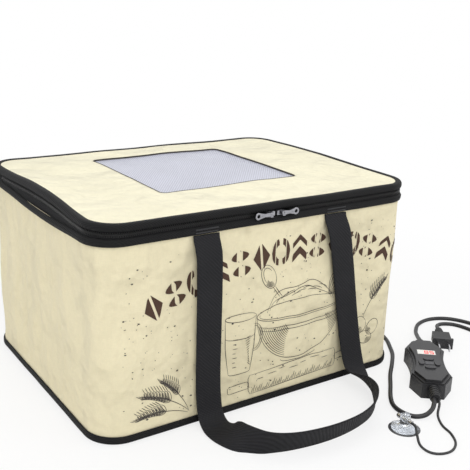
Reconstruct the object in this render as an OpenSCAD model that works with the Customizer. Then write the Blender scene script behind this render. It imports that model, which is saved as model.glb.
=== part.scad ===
// Folding dough proofer: soft insulated bag with zipped lid, heating mat, hand controller and probe.
// Millimetres, +Z up. Origin at the centre of the base, front towards -Y, left side towards -X.

/* [Bag] */
// Outer width at the mouth
bag_w = 400; // [320:5:520]
// Outer depth at the mouth
bag_d = 310; // [250:5:420]
// Height of the lid top
bag_h = 230; // [180:5:300]
// How much smaller the base is than the mouth
taper = 0; // [0:1:24]
// Corner radius
corner_r = 34; // [20:1:60]
// Outer cloth thickness
cloth_t = 1.2; // [0.6:0.1:2.5]
// Wall foam thickness
foam_t = 6; // [3:0.5:10]
// Foil lining thickness
lining_t = 0.8; // [0.4:0.1:1.5]
// Base board thickness
board_t = 3; // [2:0.5:6]

/* [Lid] */
// Window width and depth
window_w = 180; // [100:5:240]
// Window centre, towards the back
window_y = 12; // [-20:1:20]
// Lid binding height
binding_h = 7.6; // [6:0.2:14]
// Rim band height
band_h = 7.5; // [7:0.5:30]
// Tooth spacing of the zipper
tooth_pitch = 4; // [3:0.5:6]

/* [Handles] */
// Webbing width
strap_w = 30; // [20:1:40]
// Webbing thickness
strap_t = 2.2; // [1.5:0.1:3]
// Distance of each strap from the middle
strap_x = 83; // [70:1:100]
// How far the loop lies out in front of the bag
loop_reach = 106; // [80:1:110]

/* [Heating] */
// Mat width
mat_w = 290; // [200:5:320]
// Mat depth
mat_d = 200; // [150:5:230]
// Mat thickness
mat_t = 2.6; // [1.5:0.1:4]

/* [Controller] */
// Case length
ctrl_l = 115; // [100:1:140]
// Case width at its widest
ctrl_w = 48; // [40:1:60]
// Case height
ctrl_h = 22; // [18:1:28]
// Place of the case on the floor, sideways
ctrl_x = 205; // [195:1:240]
// Place of the case on the floor, front to back
ctrl_y = -205; // [-240:1:-195]
// Turn of the case
ctrl_turn = 40; // [30:1:50]
// Button travel
press = 1; // [0.6:0.1:1.5]

/* [Cords] */
// Power and mat cord diameter
cord_d = 5.2; // [4:0.1:7]
// Probe lead diameter
lead_d = 2.8; // [2:0.1:4]
// Suction cup diameter
cup_d = 34; // [25:1:45]
// Plug place on the floor, sideways
plug_x = 290; // [285:1:300]
// Plug place on the floor, front to back
plug_y = -150; // [-155:1:-145]

/* [Hidden] */
$fn = 48;
// Small clearance between layers of one piece
gap = 0.1;
// Clearance between pieces that move apart
clear = 0.3;
// Heights of the stack at the mouth, from the lid top down
top_z = bag_h - 0.2;
lid_z0 = top_z - binding_h;
teeth_z = lid_z0 - 3.8;
rim_z1 = teeth_z - 2.4;
rim_z0 = rim_z1 - band_h;
wall_z = rim_z0 + 3.7;
a_top = bag_w / 2;
b_top = bag_d / 2;
a_base = (bag_w - taper) / 2;
b_base = (bag_d - taper) / 2;
wall_in = cloth_t + gap + foam_t + gap;
// Heights inside the base
board_z = 1.6;
floor_z = board_z + board_t + 0.2;
lining_z = floor_z + lining_t;
mat_z = lining_z + 0.2;
// The lead of the mat leaves through the right wall here
exit_y = -70;
exit_z = 15;
exit_x = a_base + (a_top - a_base) * exit_z / wall_z;
lead_hole = cord_d + 0.4;
lean_x = atan((a_top - a_base) / wall_z);
lean_y = atan((b_top - b_base) / wall_z);
// Sliders and pulls
slider_x = 6;
slider_w = 9;
tooth_w = tooth_pitch * 0.4;
// The lid turns about this line
axis_y = b_top + 2.8;
axis_z = teeth_z + 0.4;
// Controller heights
split_z = ctrl_h * 0.48;
face_z = ctrl_h * 0.80;
shell_t = 2;
button_top = ctrl_h + 1.4;
cord_z = 11;
end_w = 26;
waist_w = 38.6;
relief_l = 20;
// Coil of the power cord, with its turns this far apart
coil_x = 322;
coil_y = -290;
coil_r = 31;
turn_gap = 0.1;
coil_step = cord_d + turn_gap;
coil_out = coil_r + coil_step / 2 + cord_d / 2;

// Colours
cream = [0.90, 0.86, 0.73];
cream_lid = [0.95, 0.93, 0.82];
black = [0.07, 0.07, 0.08];
foam_c = [0.93, 0.93, 0.92];
foil_c = [0.78, 0.79, 0.80];
metal = [0.35, 0.35, 0.37];
steel = [0.75, 0.75, 0.77];
case_c = [0.06, 0.06, 0.065];
key_c = [0.16, 0.16, 0.17];

// Shared shapes

// Half width and half depth of the outer wall at a height
function half_w(z) = a_base + (a_top - a_base) * z / wall_z;
function half_d(z) = b_base + (b_top - b_base) * z / wall_z;

// Flat rounded rectangle
module rr(w, d, r) {
    square([w - 2 * r, d], center = true);
    square([w, d - 2 * r], center = true);
    for (sx = [-1, 1])
        for (sy = [-1, 1])
            translate([sx * (w / 2 - r), sy * (d / 2 - r)])
                circle(r);
}

// Plate of the mouth outline, grown or shrunk by off
module mouth_plate(off, z0, z1) {
    translate([0, 0, z0])
        linear_extrude(z1 - z0)
            rr(bag_w + 2 * off, bag_d + 2 * off, corner_r + off);
}

// Ring that follows the mouth outline
module mouth_ring(off_in, off_out, z0, z1) {
    difference() {
        mouth_plate(off_out, z0, z1);
        mouth_plate(off_in, z0 - 1, z1 + 1);
    }
}

// Block that follows the wall, shrunk by off: upright, or leaning where there is a taper
module wall_block(off, z0, z1) {
    if (taper == 0)
        translate([0, 0, z0])
            linear_extrude(z1 - z0)
                rr(bag_w - 2 * off, bag_d - 2 * off, corner_r - off);
    else
        hull() {
            translate([0, 0, z0])
                linear_extrude(0.02)
                    rr(2 * (half_w(z0) - off), 2 * (half_d(z0) - off), corner_r - off);
            translate([0, 0, z1 - 0.02])
                linear_extrude(0.02)
                    rr(2 * (half_w(z1) - off), 2 * (half_d(z1) - off), corner_r - off);
        }
}

// Hole for the mat lead through the right wall
module exit_bore(d) {
    translate([a_base - 20, exit_y, exit_z])
        rotate([0, 90, 0])
            cylinder(d = d, h = 40, $fn = 32);
}

// Part of the mouth that carries the zipper: everything but the back
module zip_side() {
    translate([-bag_w, -bag_d, 0])
        cube([2 * bag_w, bag_d + b_top - corner_r - 4, 2 * bag_h]);
}

module hinge_side() {
    translate([-(a_top - corner_r), b_top - 6, 0])
        cube([2 * (a_top - corner_r), 40, 2 * bag_h]);
}

// One straight row of teeth seen from the front, with its rail, up is +1 for teeth that point up
module comb(len, up, shift) {
    n = floor((len - 2 * tooth_pitch) / tooth_pitch / 2);
    s = up * 1;
    rotate([90, 0, 0])
        linear_extrude(2.2, center = true)
            union() {
                translate([-len / 2, up > 0 ? 0 : -0.6])
                    square([len, 0.6]);
                for (i = [-n : n])
                    translate([i * tooth_pitch + shift - tooth_w / 2, s > 0 ? 0.3 : -2.2])
                        square([tooth_w, 1.9]);
            }
}

// Rows of teeth on the front, left and right of the mouth
module teeth_rows(z, up, shift) {
    front_len = bag_w - 2 * corner_r;
    side_len = bag_d - 2 * corner_r - 8;
    translate([0, -(b_top - 0.5), z])
        comb(front_len, up, shift);
    for (sx = [-1, 1])
        translate([sx * (a_top - 0.5), -4, z])
            rotate([0, 0, 90])
                comb(side_len, up, shift);
    for (sx = [-1, 1])
        translate([sx * (a_top - corner_r), -(b_top - corner_r), z + (up > 0 ? 0 : -0.6)])
            corner_rail(sx);
}

// Quarter rail that joins the rows at a front corner
module corner_rail(sx) {
    rotate([0, 0, sx > 0 ? -90 : 180])
        rotate_extrude(angle = 90)
            translate([corner_r - 1.6, 0])
                square([2.2, 0.6]);
}

// Closed band through stations of a place and a width direction
function unit(v) = v / norm(v);
function step_dir(s, i) = unit(s[min(i + 1, len(s) - 1)][0] - s[max(i - 1, 0)][0]);
function band_side(s, i) = unit(s[i][1] - (s[i][1] * step_dir(s, i)) * step_dir(s, i));
function band_out(s, i) = cross(step_dir(s, i), band_side(s, i));
module ribbon(s, w, t) {
    n = len(s);
    pts = [for (i = [0 : n - 1], k = [0 : 3])
        s[i][0] + band_side(s, i) * w / 2 * [1, 1, -1, -1][k]
            + band_out(s, i) * t / 2 * [1, -1, -1, 1][k]];
    sides = [for (i = [0 : n - 2], k = [0 : 3], h = [0, 1])
        h == 0 ? [i * 4 + k, i * 4 + (k + 1) % 4, (i + 1) * 4 + k]
            : [i * 4 + (k + 1) % 4, (i + 1) * 4 + (k + 1) % 4, (i + 1) * 4 + k]];
    ends = [[0, 3, 2], [0, 2, 1], [(n - 1) * 4, (n - 1) * 4 + 1, (n - 1) * 4 + 2],
        [(n - 1) * 4, (n - 1) * 4 + 2, (n - 1) * 4 + 3]];
    polyhedron(points = pts, faces = concat(sides, ends));
}

// Smooth run through chosen points, m steps between neighbours
function spline_at(a, b, c, d, t) = 0.5 * ((2 * b) + (c - a) * t
    + (2 * a - 5 * b + 4 * c - d) * t * t + (3 * b - a - 3 * c + d) * t * t * t);
function run_pts(p, m) = concat([for (i = [0 : len(p) - 2], k = [0 : m - 1])
    spline_at(p[max(i - 1, 0)], p[i], p[i + 1], p[min(i + 2, len(p) - 1)], k / m)],
    [p[len(p) - 1]]);

// Round cord swept along points
function run_dir(p, i) = unit(p[min(i + 1, len(p) - 1)] - p[max(i - 1, 0)]);
function run_side(p, i) = unit(cross(run_dir(p, i), [0, 0, 1]));
module tube(p, d, n) {
    m = len(p);
    pts = [for (i = [0 : m - 1], k = [0 : n - 1])
        p[i] + d / 2 * (cos(360 * k / n) * run_side(p, i)
            + sin(360 * k / n) * cross(run_side(p, i), run_dir(p, i)))];
    sides = [for (i = [0 : m - 2], k = [0 : n - 1], h = [0, 1])
        h == 0 ? [i * n + k, i * n + (k + 1) % n, (i + 1) * n + k]
            : [i * n + (k + 1) % n, (i + 1) * n + (k + 1) % n, (i + 1) * n + k]];
    ends = [[for (k = [n - 1 : -1 : 0]) k], [for (k = [0 : n - 1]) (m - 1) * n + k]];
    polyhedron(points = pts, faces = concat(sides, ends));
}

// Controller frame: its own +Y points to the display end
module at_ctrl() {
    translate([ctrl_x, ctrl_y, 0])
        rotate([0, 0, -ctrl_turn])
            children();
}
function ctrl_pt(x, y, z) = [ctrl_x + x * cos(ctrl_turn) + y * sin(ctrl_turn),
    ctrl_y - x * sin(ctrl_turn) + y * cos(ctrl_turn), z];

// Plug frame: its own -Y points along the blades
module at_plug() {
    translate([plug_x, plug_y, 0])
        rotate([0, 0, -ctrl_turn])
            children();
}
function plug_pt(x, y, z) = [plug_x + x * cos(ctrl_turn) + y * sin(ctrl_turn),
    plug_y - x * sin(ctrl_turn) + y * cos(ctrl_turn), z];

// Outline of the controller, waisted in the middle, k shrinks it evenly by that much
function side_x(t) = t < 0.6 ? waist_w / 2 + (ctrl_w - waist_w) / 2 * pow(t / 0.6, 2.2)
    : ctrl_w / 2 - (ctrl_w - end_w) / 2 * (t - 0.6) / 0.4;
module ctrl_outline(k) {
    quarter = [for (i = [0 : 10]) let (t = i / 10) [side_x(t) - k, t * (ctrl_l / 2 - k)]];
    right = concat([for (i = [10 : -1 : 1]) [quarter[i][0], -quarter[i][1]]], quarter);
    left = [for (i = [len(right) - 1 : -1 : 0]) [-right[i][0], right[i][1]]];
    polygon(concat(right, left));
}

// Flat oval for a button
module oval(w, h) {
    r = min(w, h) / 2;
    square([w > h ? w - 2 * r : w, w > h ? h : h - 2 * r], center = true);
    for (s = [-1, 1])
        translate([w > h ? s * (w / 2 - r) : 0, w > h ? 0 : s * (h / 2 - r)])
            circle(r, $fn = 32);
}
// Place and size of each button on the case: x, y, width, height
b_power = [0, -1, 12.6, 6.6];
b_down = [-9.3, -11, 6.2, 12];
b_up = [9.3, -11, 6.2, 12];
b_set = [0, -22.5, 12.6, 6.6];
disp_w = 22;
disp_h = 13;
disp_y = 19.5;

// Bag base and walls

module bottom_panel() {
    color(cream)
        linear_extrude(1.5)
            rr(2 * a_base - 0.4, 2 * b_base - 0.4, corner_r);
}

module base_board() {
    inset = 2 * (cloth_t + gap + 0.3);
    color(black)
        translate([0, 0, board_z])
            linear_extrude(board_t)
                rr(2 * a_base - inset, 2 * b_base - inset, corner_r - inset / 2);
}

module bottom_binding() {
    color(black)
        difference() {
            translate([0, 0, 0.4])
                linear_extrude(binding_h + 0.2)
                    rr(2 * a_base + 3.6, 2 * b_base + 3.6, corner_r + 1.8);
            translate([0, 0, -1])
                linear_extrude(12)
                    rr(2 * a_base + 0.8, 2 * b_base + 0.8, corner_r + 0.4);
        }
}

module outer_cloth() {
    color(cream)
        difference() {
            wall_block(0, 1.6, wall_z);
            wall_block(cloth_t, 1.5, wall_z + 0.1);
            exit_bore(lead_hole + 5);
        }
}

module foam_slab(len, lean, half_base) {
    translate([-len / 2, -(half_base - cloth_t - gap), 0])
        rotate([lean, 0, 0])
            translate([0, 0, floor_z])
                cube([len, foam_t, wall_z - floor_z - 0.8]);
}

module foam_front() {
    color(foam_c)
        foam_slab(2 * (a_base - corner_r), lean_y, b_base);
}

module foam_back() {
    color(foam_c)
        rotate([0, 0, 180])
            foam_slab(2 * (a_base - corner_r), lean_y, b_base);
}

module foam_left() {
    color(foam_c)
        rotate([0, 0, -90])
            foam_slab(2 * (b_base - corner_r), lean_x, a_base);
}

module foam_right() {
    color(foam_c)
        difference() {
            rotate([0, 0, 90])
                foam_slab(2 * (b_base - corner_r), lean_x, a_base);
            exit_bore(lead_hole + 5);
        }
}

// Padding that turns the four corners, between the slabs
module foam_corners() {
    color(foam_c)
        intersection() {
            difference() {
                wall_block(cloth_t + gap, floor_z, wall_z - 0.6);
                wall_block(cloth_t + gap + foam_t, floor_z - 0.1, wall_z);
            }
            for (sx = [-1, 1])
                for (sy = [-1, 1])
                    translate([sx * (a_base - corner_r + bag_w / 4 + 0.2),
                        sy * (b_base - corner_r + bag_w / 4 + 0.2), wall_z / 2])
                        cube([bag_w / 2, bag_w / 2, wall_z], center = true);
        }
}

module foil_lining() {
    color(foil_c)
        difference() {
            wall_block(wall_in + 0.2, floor_z, wall_z - 0.4);
            wall_block(wall_in + 0.2 + lining_t, lining_z, wall_z + 0.1);
            exit_bore(lead_hole + 5);
        }
}

module cable_grommet() {
    color(black)
        translate([exit_x, exit_y, exit_z])
            rotate([0, 90, 0])
                difference() {
                    union() {
                        translate([0, 0, 0.5])
                            cylinder(d = lead_hole + 5, h = 2);
                        translate([0, 0, -wall_in - lining_t - 1])
                            cylinder(d = lead_hole + 4.6, h = wall_in + lining_t + 2);
                        translate([0, 0, -wall_in - lining_t - 2.8])
                            cylinder(d = lead_hole + 9, h = 1.8);
                    }
                    translate([0, 0, -40])
                        cylinder(d = lead_hole, h = 80);
                }
}

// Heating mat inside

module heating_mat() {
    color(black)
        difference() {
            translate([0, 0, mat_z])
                linear_extrude(mat_t)
                    rr(mat_w, mat_d, 12);
            translate([0, 0, mat_z + mat_t - 0.4])
                linear_extrude(2)
                    difference() {
                        rr(mat_w - 16, mat_d - 16, 8);
                        rr(mat_w - 22, mat_d - 22, 6);
                    }
        }
}

module mat_gland() {
    color(black)
        difference() {
            translate([mat_w / 2 - 34, exit_y - 11, mat_z + mat_t])
                cube([30, 22, exit_z - mat_z - mat_t + 5]);
            translate([mat_w / 2 - 40, exit_y - 12, exit_z + 3])
                rotate([0, -20, 0])
                    translate([-10, 0, 0])
                        cube([16, 24, 12]);
        }
}

// Rim

module rim_band() {
    color(black)
        mouth_ring(clear, 2.3, rim_z0, rim_z1);
}

module rim_core() {
    color(black)
        mouth_ring(-(wall_in + lining_t + 0.4), clear, wall_z + clear, rim_z1);
}

module rim_zip_tape() {
    color(black)
        intersection() {
            mouth_ring(-1.2, 0, rim_z1, teeth_z);
            zip_side();
        }
}

module rim_teeth() {
    color(metal)
        teeth_rows(teeth_z, 1, 0);
}

module rim_hinge_tape() {
    color(black)
        intersection() {
            mouth_ring(-2, 2.3, rim_z1, axis_z - 0.2);
            hinge_side();
        }
}

module tacks() {
    for (s = [-1, 1])
        translate([s * strap_x, -(b_top + 2.3), rim_z0 + 1.4])
            for (z = [0, band_h - 4.2])
                translate([-strap_w / 2 + 2, -0.5, z])
                    cube([strap_w - 4, 0.5, 1.4]);
}

module strap_tacks_front() {
    color(metal)
        tacks();
}

module strap_tacks_back() {
    color(metal)
        rotate([0, 0, 180])
            tacks();
}

// Lid

module window_hole(extra) {
    translate([0, window_y, 0])
        linear_extrude(2 * bag_h)
            rr(window_w + 2 * extra, window_w + 2 * extra, 10 + extra);
}

module lid_lining() {
    color(foil_c)
        difference() {
            mouth_plate(-0.2, lid_z0 + 0.8, lid_z0 + 1.5);
            window_hole(0);
        }
}

module lid_core() {
    color(foam_c)
        difference() {
            mouth_plate(-0.2, lid_z0 + 1.6, top_z - 2.4);
            window_hole(0);
        }
}

module window_pane() {
    color([0.74, 0.75, 0.82, 0.6])
        translate([0, window_y, top_z - 2.3])
            linear_extrude(0.6)
                rr(window_w + 14, window_w + 14, 14);
}

module lid_cloth() {
    color(cream_lid)
        difference() {
            mouth_plate(-0.2, top_z - 1.6, top_z - 0.5);
            window_hole(0);
        }
}

module window_hem() {
    color([0.30, 0.29, 0.28])
        translate([0, window_y, top_z - 1.6])
            linear_extrude(1.4)
                difference() {
                    rr(window_w - 0.2, window_w - 0.2, 9.9);
                    rr(window_w - 4, window_w - 4, 8);
                }
}

module lid_binding() {
    color(black)
        union() {
            mouth_ring(0, 1.6, lid_z0, top_z);
            mouth_ring(-6, 0.5, top_z - 0.4, top_z);
            mouth_ring(-6, 0.5, lid_z0, lid_z0 + 0.7);
        }
}

module lid_zip_tape() {
    color(black)
        intersection() {
            mouth_ring(-1.2, 0, teeth_z + 2.8, lid_z0);
            zip_side();
        }
}

module lid_teeth() {
    color(metal)
        teeth_rows(teeth_z + 2.8, -1, tooth_pitch / 2);
}

module lid_hinge_tape() {
    color(black)
        intersection() {
            mouth_ring(-2, 2.3, axis_z + 0.1, lid_z0);
            hinge_side();
        }
}

// Sliders and pulls, one hand drawn and the other mirrored

module slider() {
    front_y = b_top + 0.6 + clear;
    z0 = rim_z1 + clear;
    z1 = lid_z0 - clear;
    translate([-slider_x, -front_y, 0])
        union() {
            rotate([90, 0, 0])
                linear_extrude(2.2)
                    polygon([[-slider_w / 2, z0 + 1.2], [-slider_w / 2 + 1.6, z0],
                        [slider_w / 2, z0 + 0.6], [slider_w / 2, z1 - 0.6],
                        [-slider_w / 2 + 1.6, z1], [-slider_w / 2, z1 - 1.2]]);
            for (z = [z0 + 0.1, z1 - 1])
                translate([-3.4, -6.2, z])
                    cube([3.4, 4.2, 0.9]);
            translate([-1.9, -4.7, z0 + 0.5])
                cylinder(d = 1.6, h = z1 - z0 - 1, $fn = 24);
        }
}

module pull() {
    pin_x = -slider_x - 1.9;
    pin_y = -(b_top + 0.6 + clear + 4.7);
    zc = (rim_z1 + lid_z0) / 2;
    translate([pin_x, pin_y, zc])
        difference() {
            union() {
                translate([0, 0, -1.6])
                    cylinder(d = 4, h = 3.2, $fn = 24);
                translate([0, 0.6, 0])
                    rotate([90, 0, 0])
                        linear_extrude(1.2)
                            polygon([[-1, -1.5], [-1, 1.5], [-14, 2.6], [-14, -2.6]]);
                translate([-16, 0.6, 0])
                    rotate([90, 0, 0])
                        cylinder(d = 7.4, h = 1.2);
            }
            translate([0, 0, -5])
                cylinder(d = 2.2, h = 10, $fn = 24);
            translate([-16, 2, 0])
                rotate([90, 0, 0])
                    cylinder(d = 4.2, h = 4);
        }
}

module slider_left() {
    color(metal)
        slider();
}

module slider_right() {
    color(metal)
        mirror([1, 0, 0])
            slider();
}

module pull_left() {
    color(metal)
        pull();
}

module pull_right() {
    color(metal)
        mirror([1, 0, 0])
            pull();
}

// Handles: the webbing hangs from the rim and its loop lies on the floor, on its edge in front

hang_y = -(b_top + clear + strap_t / 2);
// Stations from the left end to the right: place sideways, place in front of the wall, height,
// then the direction across the webbing
strap_run = [
    [-83, 0, 197.4, 1, 0, 0], [-83, -0.1, 195.6, 1, 0, 0], [-82.9, -1, 191.5, 1, 0, 0],
    [-82.3, -3, 185, 1, 0, 0], [-81, -4.2, 172, 1, 0, 0],
    [-79, -2.5, 135, 1, 0, 0], [-78, -1.5, 90, 1, 0, 0], [-78, -2, 50, 1, 0, 0],
    [-78, -4.5, 26, 1, 0, 0], [-78.5, -10, 11, 1, 0, 0.02], [-80, -22, 4.6, 1, 0, 0.1],
    [-81, -37, 6, 0.92, 0, 0.3], [-80, -53, 10.6, 0.65, -0.1, 0.65], [-75, -71, 14, 0.3, -0.3, 0.9],
    [-62, -88, 14.6, 0.12, -0.4, 0.9], [-40, -99, 14.6, 0.04, -0.44, 0.9], [-10, -105, 14.6, 0, -0.45, 0.89],
    [20, -106, 14.6, 0, -0.45, 0.89], [48, -102, 14.6, -0.02, -0.44, 0.9], [74, -92, 14.6, -0.06, -0.36, 0.93],
    [94, -76, 14.8, -0.1, -0.2, 0.96], [105, -58, 14.6, -0.35, -0.1, 0.92], [110, -42, 14, -0.7, 0, 0.7],
    [114, -27, 15, -0.92, 0, 0.35], [117, -14, 22, -1, 0, 0.1], [116, -7, 40, -1, 0, 0],
    [112, -4, 66, -1, 0, 0], [106, -2.5, 100, -1, 0, 0], [97, -3.5, 140, -1, 0, 0],
    [89, -4.5, 172, -1, 0, 0], [85, -3.2, 184.5, -1, 0, 0], [83.4, -1, 191.5, -1, 0, 0],
    [83, -0.1, 195.6, -1, 0, 0], [83, 0, 197.4, -1, 0, 0]];
function strap_at(s) = [[s[0] * strap_x / 83, hang_y + s[1] * loop_reach / 106,
    s[2] > 30 ? s[2] * (rim_z0 - 0.4) / 197.8 : s[2] * strap_w / 30], [s[3], s[4], s[5]]];

module handle() {
    stations = [for (s = strap_run) strap_at(s)];
    middle = run_pts([for (s = stations) s[0]], 2);
    across = run_pts([for (s = stations) s[1]], 2);
    ribbon([for (i = [0 : len(middle) - 1]) [middle[i], across[i]]], strap_w, strap_t);
}

module front_handle() {
    color(black)
        handle();
}

module back_handle() {
    color(black)
        rotate([0, 0, 180])
            handle();
}

// Hand controller

module case_lower() {
    color(case_c)
        at_ctrl()
            difference() {
                linear_extrude(split_z - 0.05)
                    ctrl_outline(0);
                translate([0, 0, shell_t])
                    linear_extrude(ctrl_h)
                        ctrl_outline(shell_t);
                for (s = [-1, 1])
                    for (t = [-1, 1])
                        translate([s * 12, t * 38, -1])
                            cylinder(d = 5, h = 2.2, $fn = 24);
                translate([0, 0, cord_z])
                    rotate([90, 0, 0])
                        cylinder(d = 8.4, h = 2 * ctrl_l, center = true);
            }
}

module case_upper() {
    color(case_c)
        at_ctrl()
            difference() {
                union() {
                    translate([0, 0, split_z + 0.05])
                        linear_extrude(face_z - split_z - 0.05)
                            ctrl_outline(0);
                    translate([0, 0, face_z])
                        linear_extrude(1.6)
                            ctrl_outline(1.6);
                    translate([0, 0, face_z + 1.6])
                        linear_extrude(ctrl_h - face_z - 1.6)
                            ctrl_outline(4.4);
                }
                translate([0, 0, -1])
                    linear_extrude(ctrl_h - shell_t + 1)
                        ctrl_outline(4.4 + shell_t);
                translate([-disp_w / 2, disp_y - disp_h / 2, 0])
                    cube([disp_w, disp_h, ctrl_h + 5]);
                for (b = [b_power, b_down, b_up, b_set])
                    translate([b[0], b[1], ctrl_h - 4])
                        linear_extrude(10)
                            oval(b[2] + 0.5, b[3] + 0.5);
                translate([-5.2, -11 - 4.2, ctrl_h - 0.6])
                    cube([10.4, 8.4, 2]);
                translate([0, 0, cord_z])
                    rotate([90, 0, 0])
                        cylinder(d = 8.4, h = 2 * ctrl_l, center = true);
            }
}

module display_window() {
    color([0.80, 0.80, 0.78])
        at_ctrl()
            translate([-disp_w / 2 + 0.1, disp_y - disp_h / 2 + 0.1, ctrl_h - 2])
                cube([disp_w - 0.2, disp_h - 0.2, 1.5]);
}

// Bars of one seven part digit: top, middle, bottom, then the uprights
module digit(bars) {
    w = 4;
    h = 3.4;
    t = 0.9;
    for (i = [0 : 2])
        if (bars[i] == 1)
            translate([0, h - i * h, 0])
                cube([w, t, 0.3], center = true);
    for (i = [0 : 3])
        if (bars[3 + i] == 1)
            translate([i % 2 == 0 ? -w / 2 : w / 2, i < 2 ? h / 2 : -h / 2, 0])
                cube([t, h + t, 0.3], center = true);
}

module display_digits() {
    color([0.85, 0.12, 0.08])
        at_ctrl()
            translate([0, disp_y, ctrl_h - 0.35])
                union() {
                    digit([1, 1, 1, 1, 1, 1, 1]);
                    translate([6.4, 0, 0])
                        digit([1, 1, 1, 1, 0, 0, 1]);
                }
}

module key_pad() {
    color(metal)
        at_ctrl()
            translate([-5, -11 - 4, ctrl_h - 0.6])
                cube([10, 8, 1.1]);
}

// Cap with a lip below the face that keeps it in the case
module button(b) {
    at_ctrl()
        translate([b[0], b[1], ctrl_h - shell_t - clear - 0.8])
            union() {
                linear_extrude(0.8)
                    oval(b[2] + 1.2, b[3] + 1.2);
                linear_extrude(button_top - ctrl_h + shell_t + clear + 0.8)
                    oval(b[2], b[3]);
            }
}

module button_power() {
    color(key_c)
        button(b_power);
}

module button_down() {
    color(key_c)
        button(b_down);
}

module button_up() {
    color(key_c)
        button(b_up);
}

module button_set() {
    color(key_c)
        button(b_set);
}

module circuit_board() {
    color([0.12, 0.35, 0.18])
        at_ctrl()
            translate([0, 0, shell_t + 0.1])
                union() {
                    translate([0, -1, 0])
                        linear_extrude(1.6)
                            square([28, 84], center = true);
                    translate([-9, 14, 1.6])
                        cube([18, 12, 10]);
                    translate([-6, -36, 1.6])
                        cube([12, 9, 7]);
                }
}

module case_screws() {
    color(steel)
        at_ctrl()
            for (s = [-1, 1])
                for (t = [-1, 1])
                    translate([s * 12, t * 38, 0.1])
                        difference() {
                            cylinder(d = 4.6, h = 1.1, $fn = 24);
                            translate([0, 0, -0.1])
                                cube([3, 0.7, 1], center = true);
                        }
}

// Each relief starts behind the end wall of the case, with a collar that can't be pulled through
relief_in = 4.4 + shell_t + 1.5;

module relief_top() {
    color(black)
        at_ctrl()
            translate([0, ctrl_l / 2 - relief_in, cord_z])
                rotate([-90, 0, 0])
                    union() {
                        cylinder(d = 8.2, h = relief_in + 14);
                        cylinder(d = 11, h = 1.3);
                        translate([0, 0, relief_in + 0.1])
                            cylinder(d = 12, h = 3);
                        translate([0, 0, relief_in + 6])
                            cylinder(d = 10, h = 1.6);
                        translate([0, 0, relief_in + 10])
                            cylinder(d = 9.4, h = 1.6);
                    }
}

module relief_bottom() {
    color(black)
        at_ctrl()
            translate([0, -ctrl_l / 2 + relief_in, cord_z])
                rotate([90, 0, 0])
                    union() {
                        cylinder(d = 8.2, h = relief_in + 1);
                        cylinder(d = 11, h = 1.3);
                        translate([0, 0, relief_in + 0.1])
                            cylinder(d1 = 14, d2 = 11.4, h = relief_l - 0.1);
                        for (i = [0 : 3])
                            translate([0, 0, relief_in + 1.6 + i * 4.4])
                                cylinder(d = 14.6 - i * 0.6, h = 2.2);
                    }
}

// Cords on the floor

relief_end = -ctrl_l / 2 - relief_l;
mat_run = [
    ctrl_pt(-2.2, relief_end, cord_z),
    ctrl_pt(-2.6, relief_end - 8, 10),
    ctrl_pt(-6, relief_end - 18, 7.4),
    ctrl_pt(-14, relief_end - 26, 4.4),
    ctrl_pt(-26, relief_end - 28, 2.9),
    ctrl_pt(-38, relief_end - 21, 2.8),
    ctrl_pt(-46, relief_end - 8, 2.8),
    ctrl_pt(-48, relief_end + 10, 2.8),
    ctrl_pt(-46, relief_end + 40, 2.8),
    ctrl_pt(-44, relief_end + 68, 2.8),
    ctrl_pt(-40, relief_end + 95, 2.8),
    [206, -146, 2.8], [219, -128, 2.8], [230, -110, 3], [233, -93, 5.4],
    [228, -79, 9.6], [217, exit_y - 1, 13.6], [206, exit_y, exit_z],
    [185, exit_y, exit_z], [165, exit_y, exit_z], [mat_w / 2 - 4, exit_y, exit_z]];
module mat_cord() {
    color(black)
        tube(run_pts(mat_run, 3), cord_d, 10);
}

probe_run = [
    ctrl_pt(3, relief_end, cord_z),
    ctrl_pt(3.2, relief_end - 8, 9.6),
    [138, -284, 5.5], [131, -297, 2.2], [127, -313, 1.6], [116, -329, 1.6], [99, -336, 1.6],
    [83, -329, 1.6], [80, -315, 3], [86, -303, 8], [92, -295, 11], [94, -288, 11]];
module probe_lead() {
    color(black)
        tube(run_pts(probe_run, 3), lead_d, 8);
}

tip_at = [94, -288, 11];
module probe_tip() {
    color(steel)
        translate(tip_at)
            rotate([-90, 0, 0])
                union() {
                    cylinder(d = 5, h = 19.5);
                    translate([0, 0, 19.5])
                        sphere(d = 5, $fn = 24);
                }
}

module suction_cup() {
    color([0.85, 0.88, 0.90, 0.5])
        translate([tip_at[0], tip_at[1] + 10, 0])
            difference() {
                union() {
                    cylinder(d1 = cup_d, d2 = 12, h = 7, $fn = 64);
                    translate([0, 0, 6.9])
                        cylinder(d = 11, h = 9);
                }
                translate([0, 0, -1])
                    cylinder(d1 = cup_d - 2, d2 = 8, h = 5, $fn = 64);
                translate([0, 0, tip_at[2]])
                    rotate([90, 0, 0])
                        cylinder(d = 5.4, h = 60, center = true, $fn = 32);
            }
}

// Point on the outside of the coil where a cord's end meets it
function coil_side(a) = [coil_x + (coil_out - 0.1) * cos(a), coil_y + (coil_out - 0.1) * sin(a),
    cord_d / 2 + 0.1];
function coil_near(a) = [coil_x + (coil_out + 8) * cos(a), coil_y + (coil_out + 8) * sin(a),
    cord_d / 2 + 0.1];
power_run = [
    ctrl_pt(0, ctrl_l / 2 + 14, cord_z),
    ctrl_pt(0, ctrl_l / 2 + 24, 9.5),
    [270, -127, 5.5], [285, -110, 2.8], [306, -95, 2.7], [332, -91, 2.7], [356, -102, 2.7],
    [371, -126, 2.7], [376, -158, 2.7], [374, -195, 2.7], [366, -232, 2.7], coil_near(50), coil_side(50)];
module power_cord() {
    color(black)
        tube(run_pts(power_run, 3), cord_d, 10);
}

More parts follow.
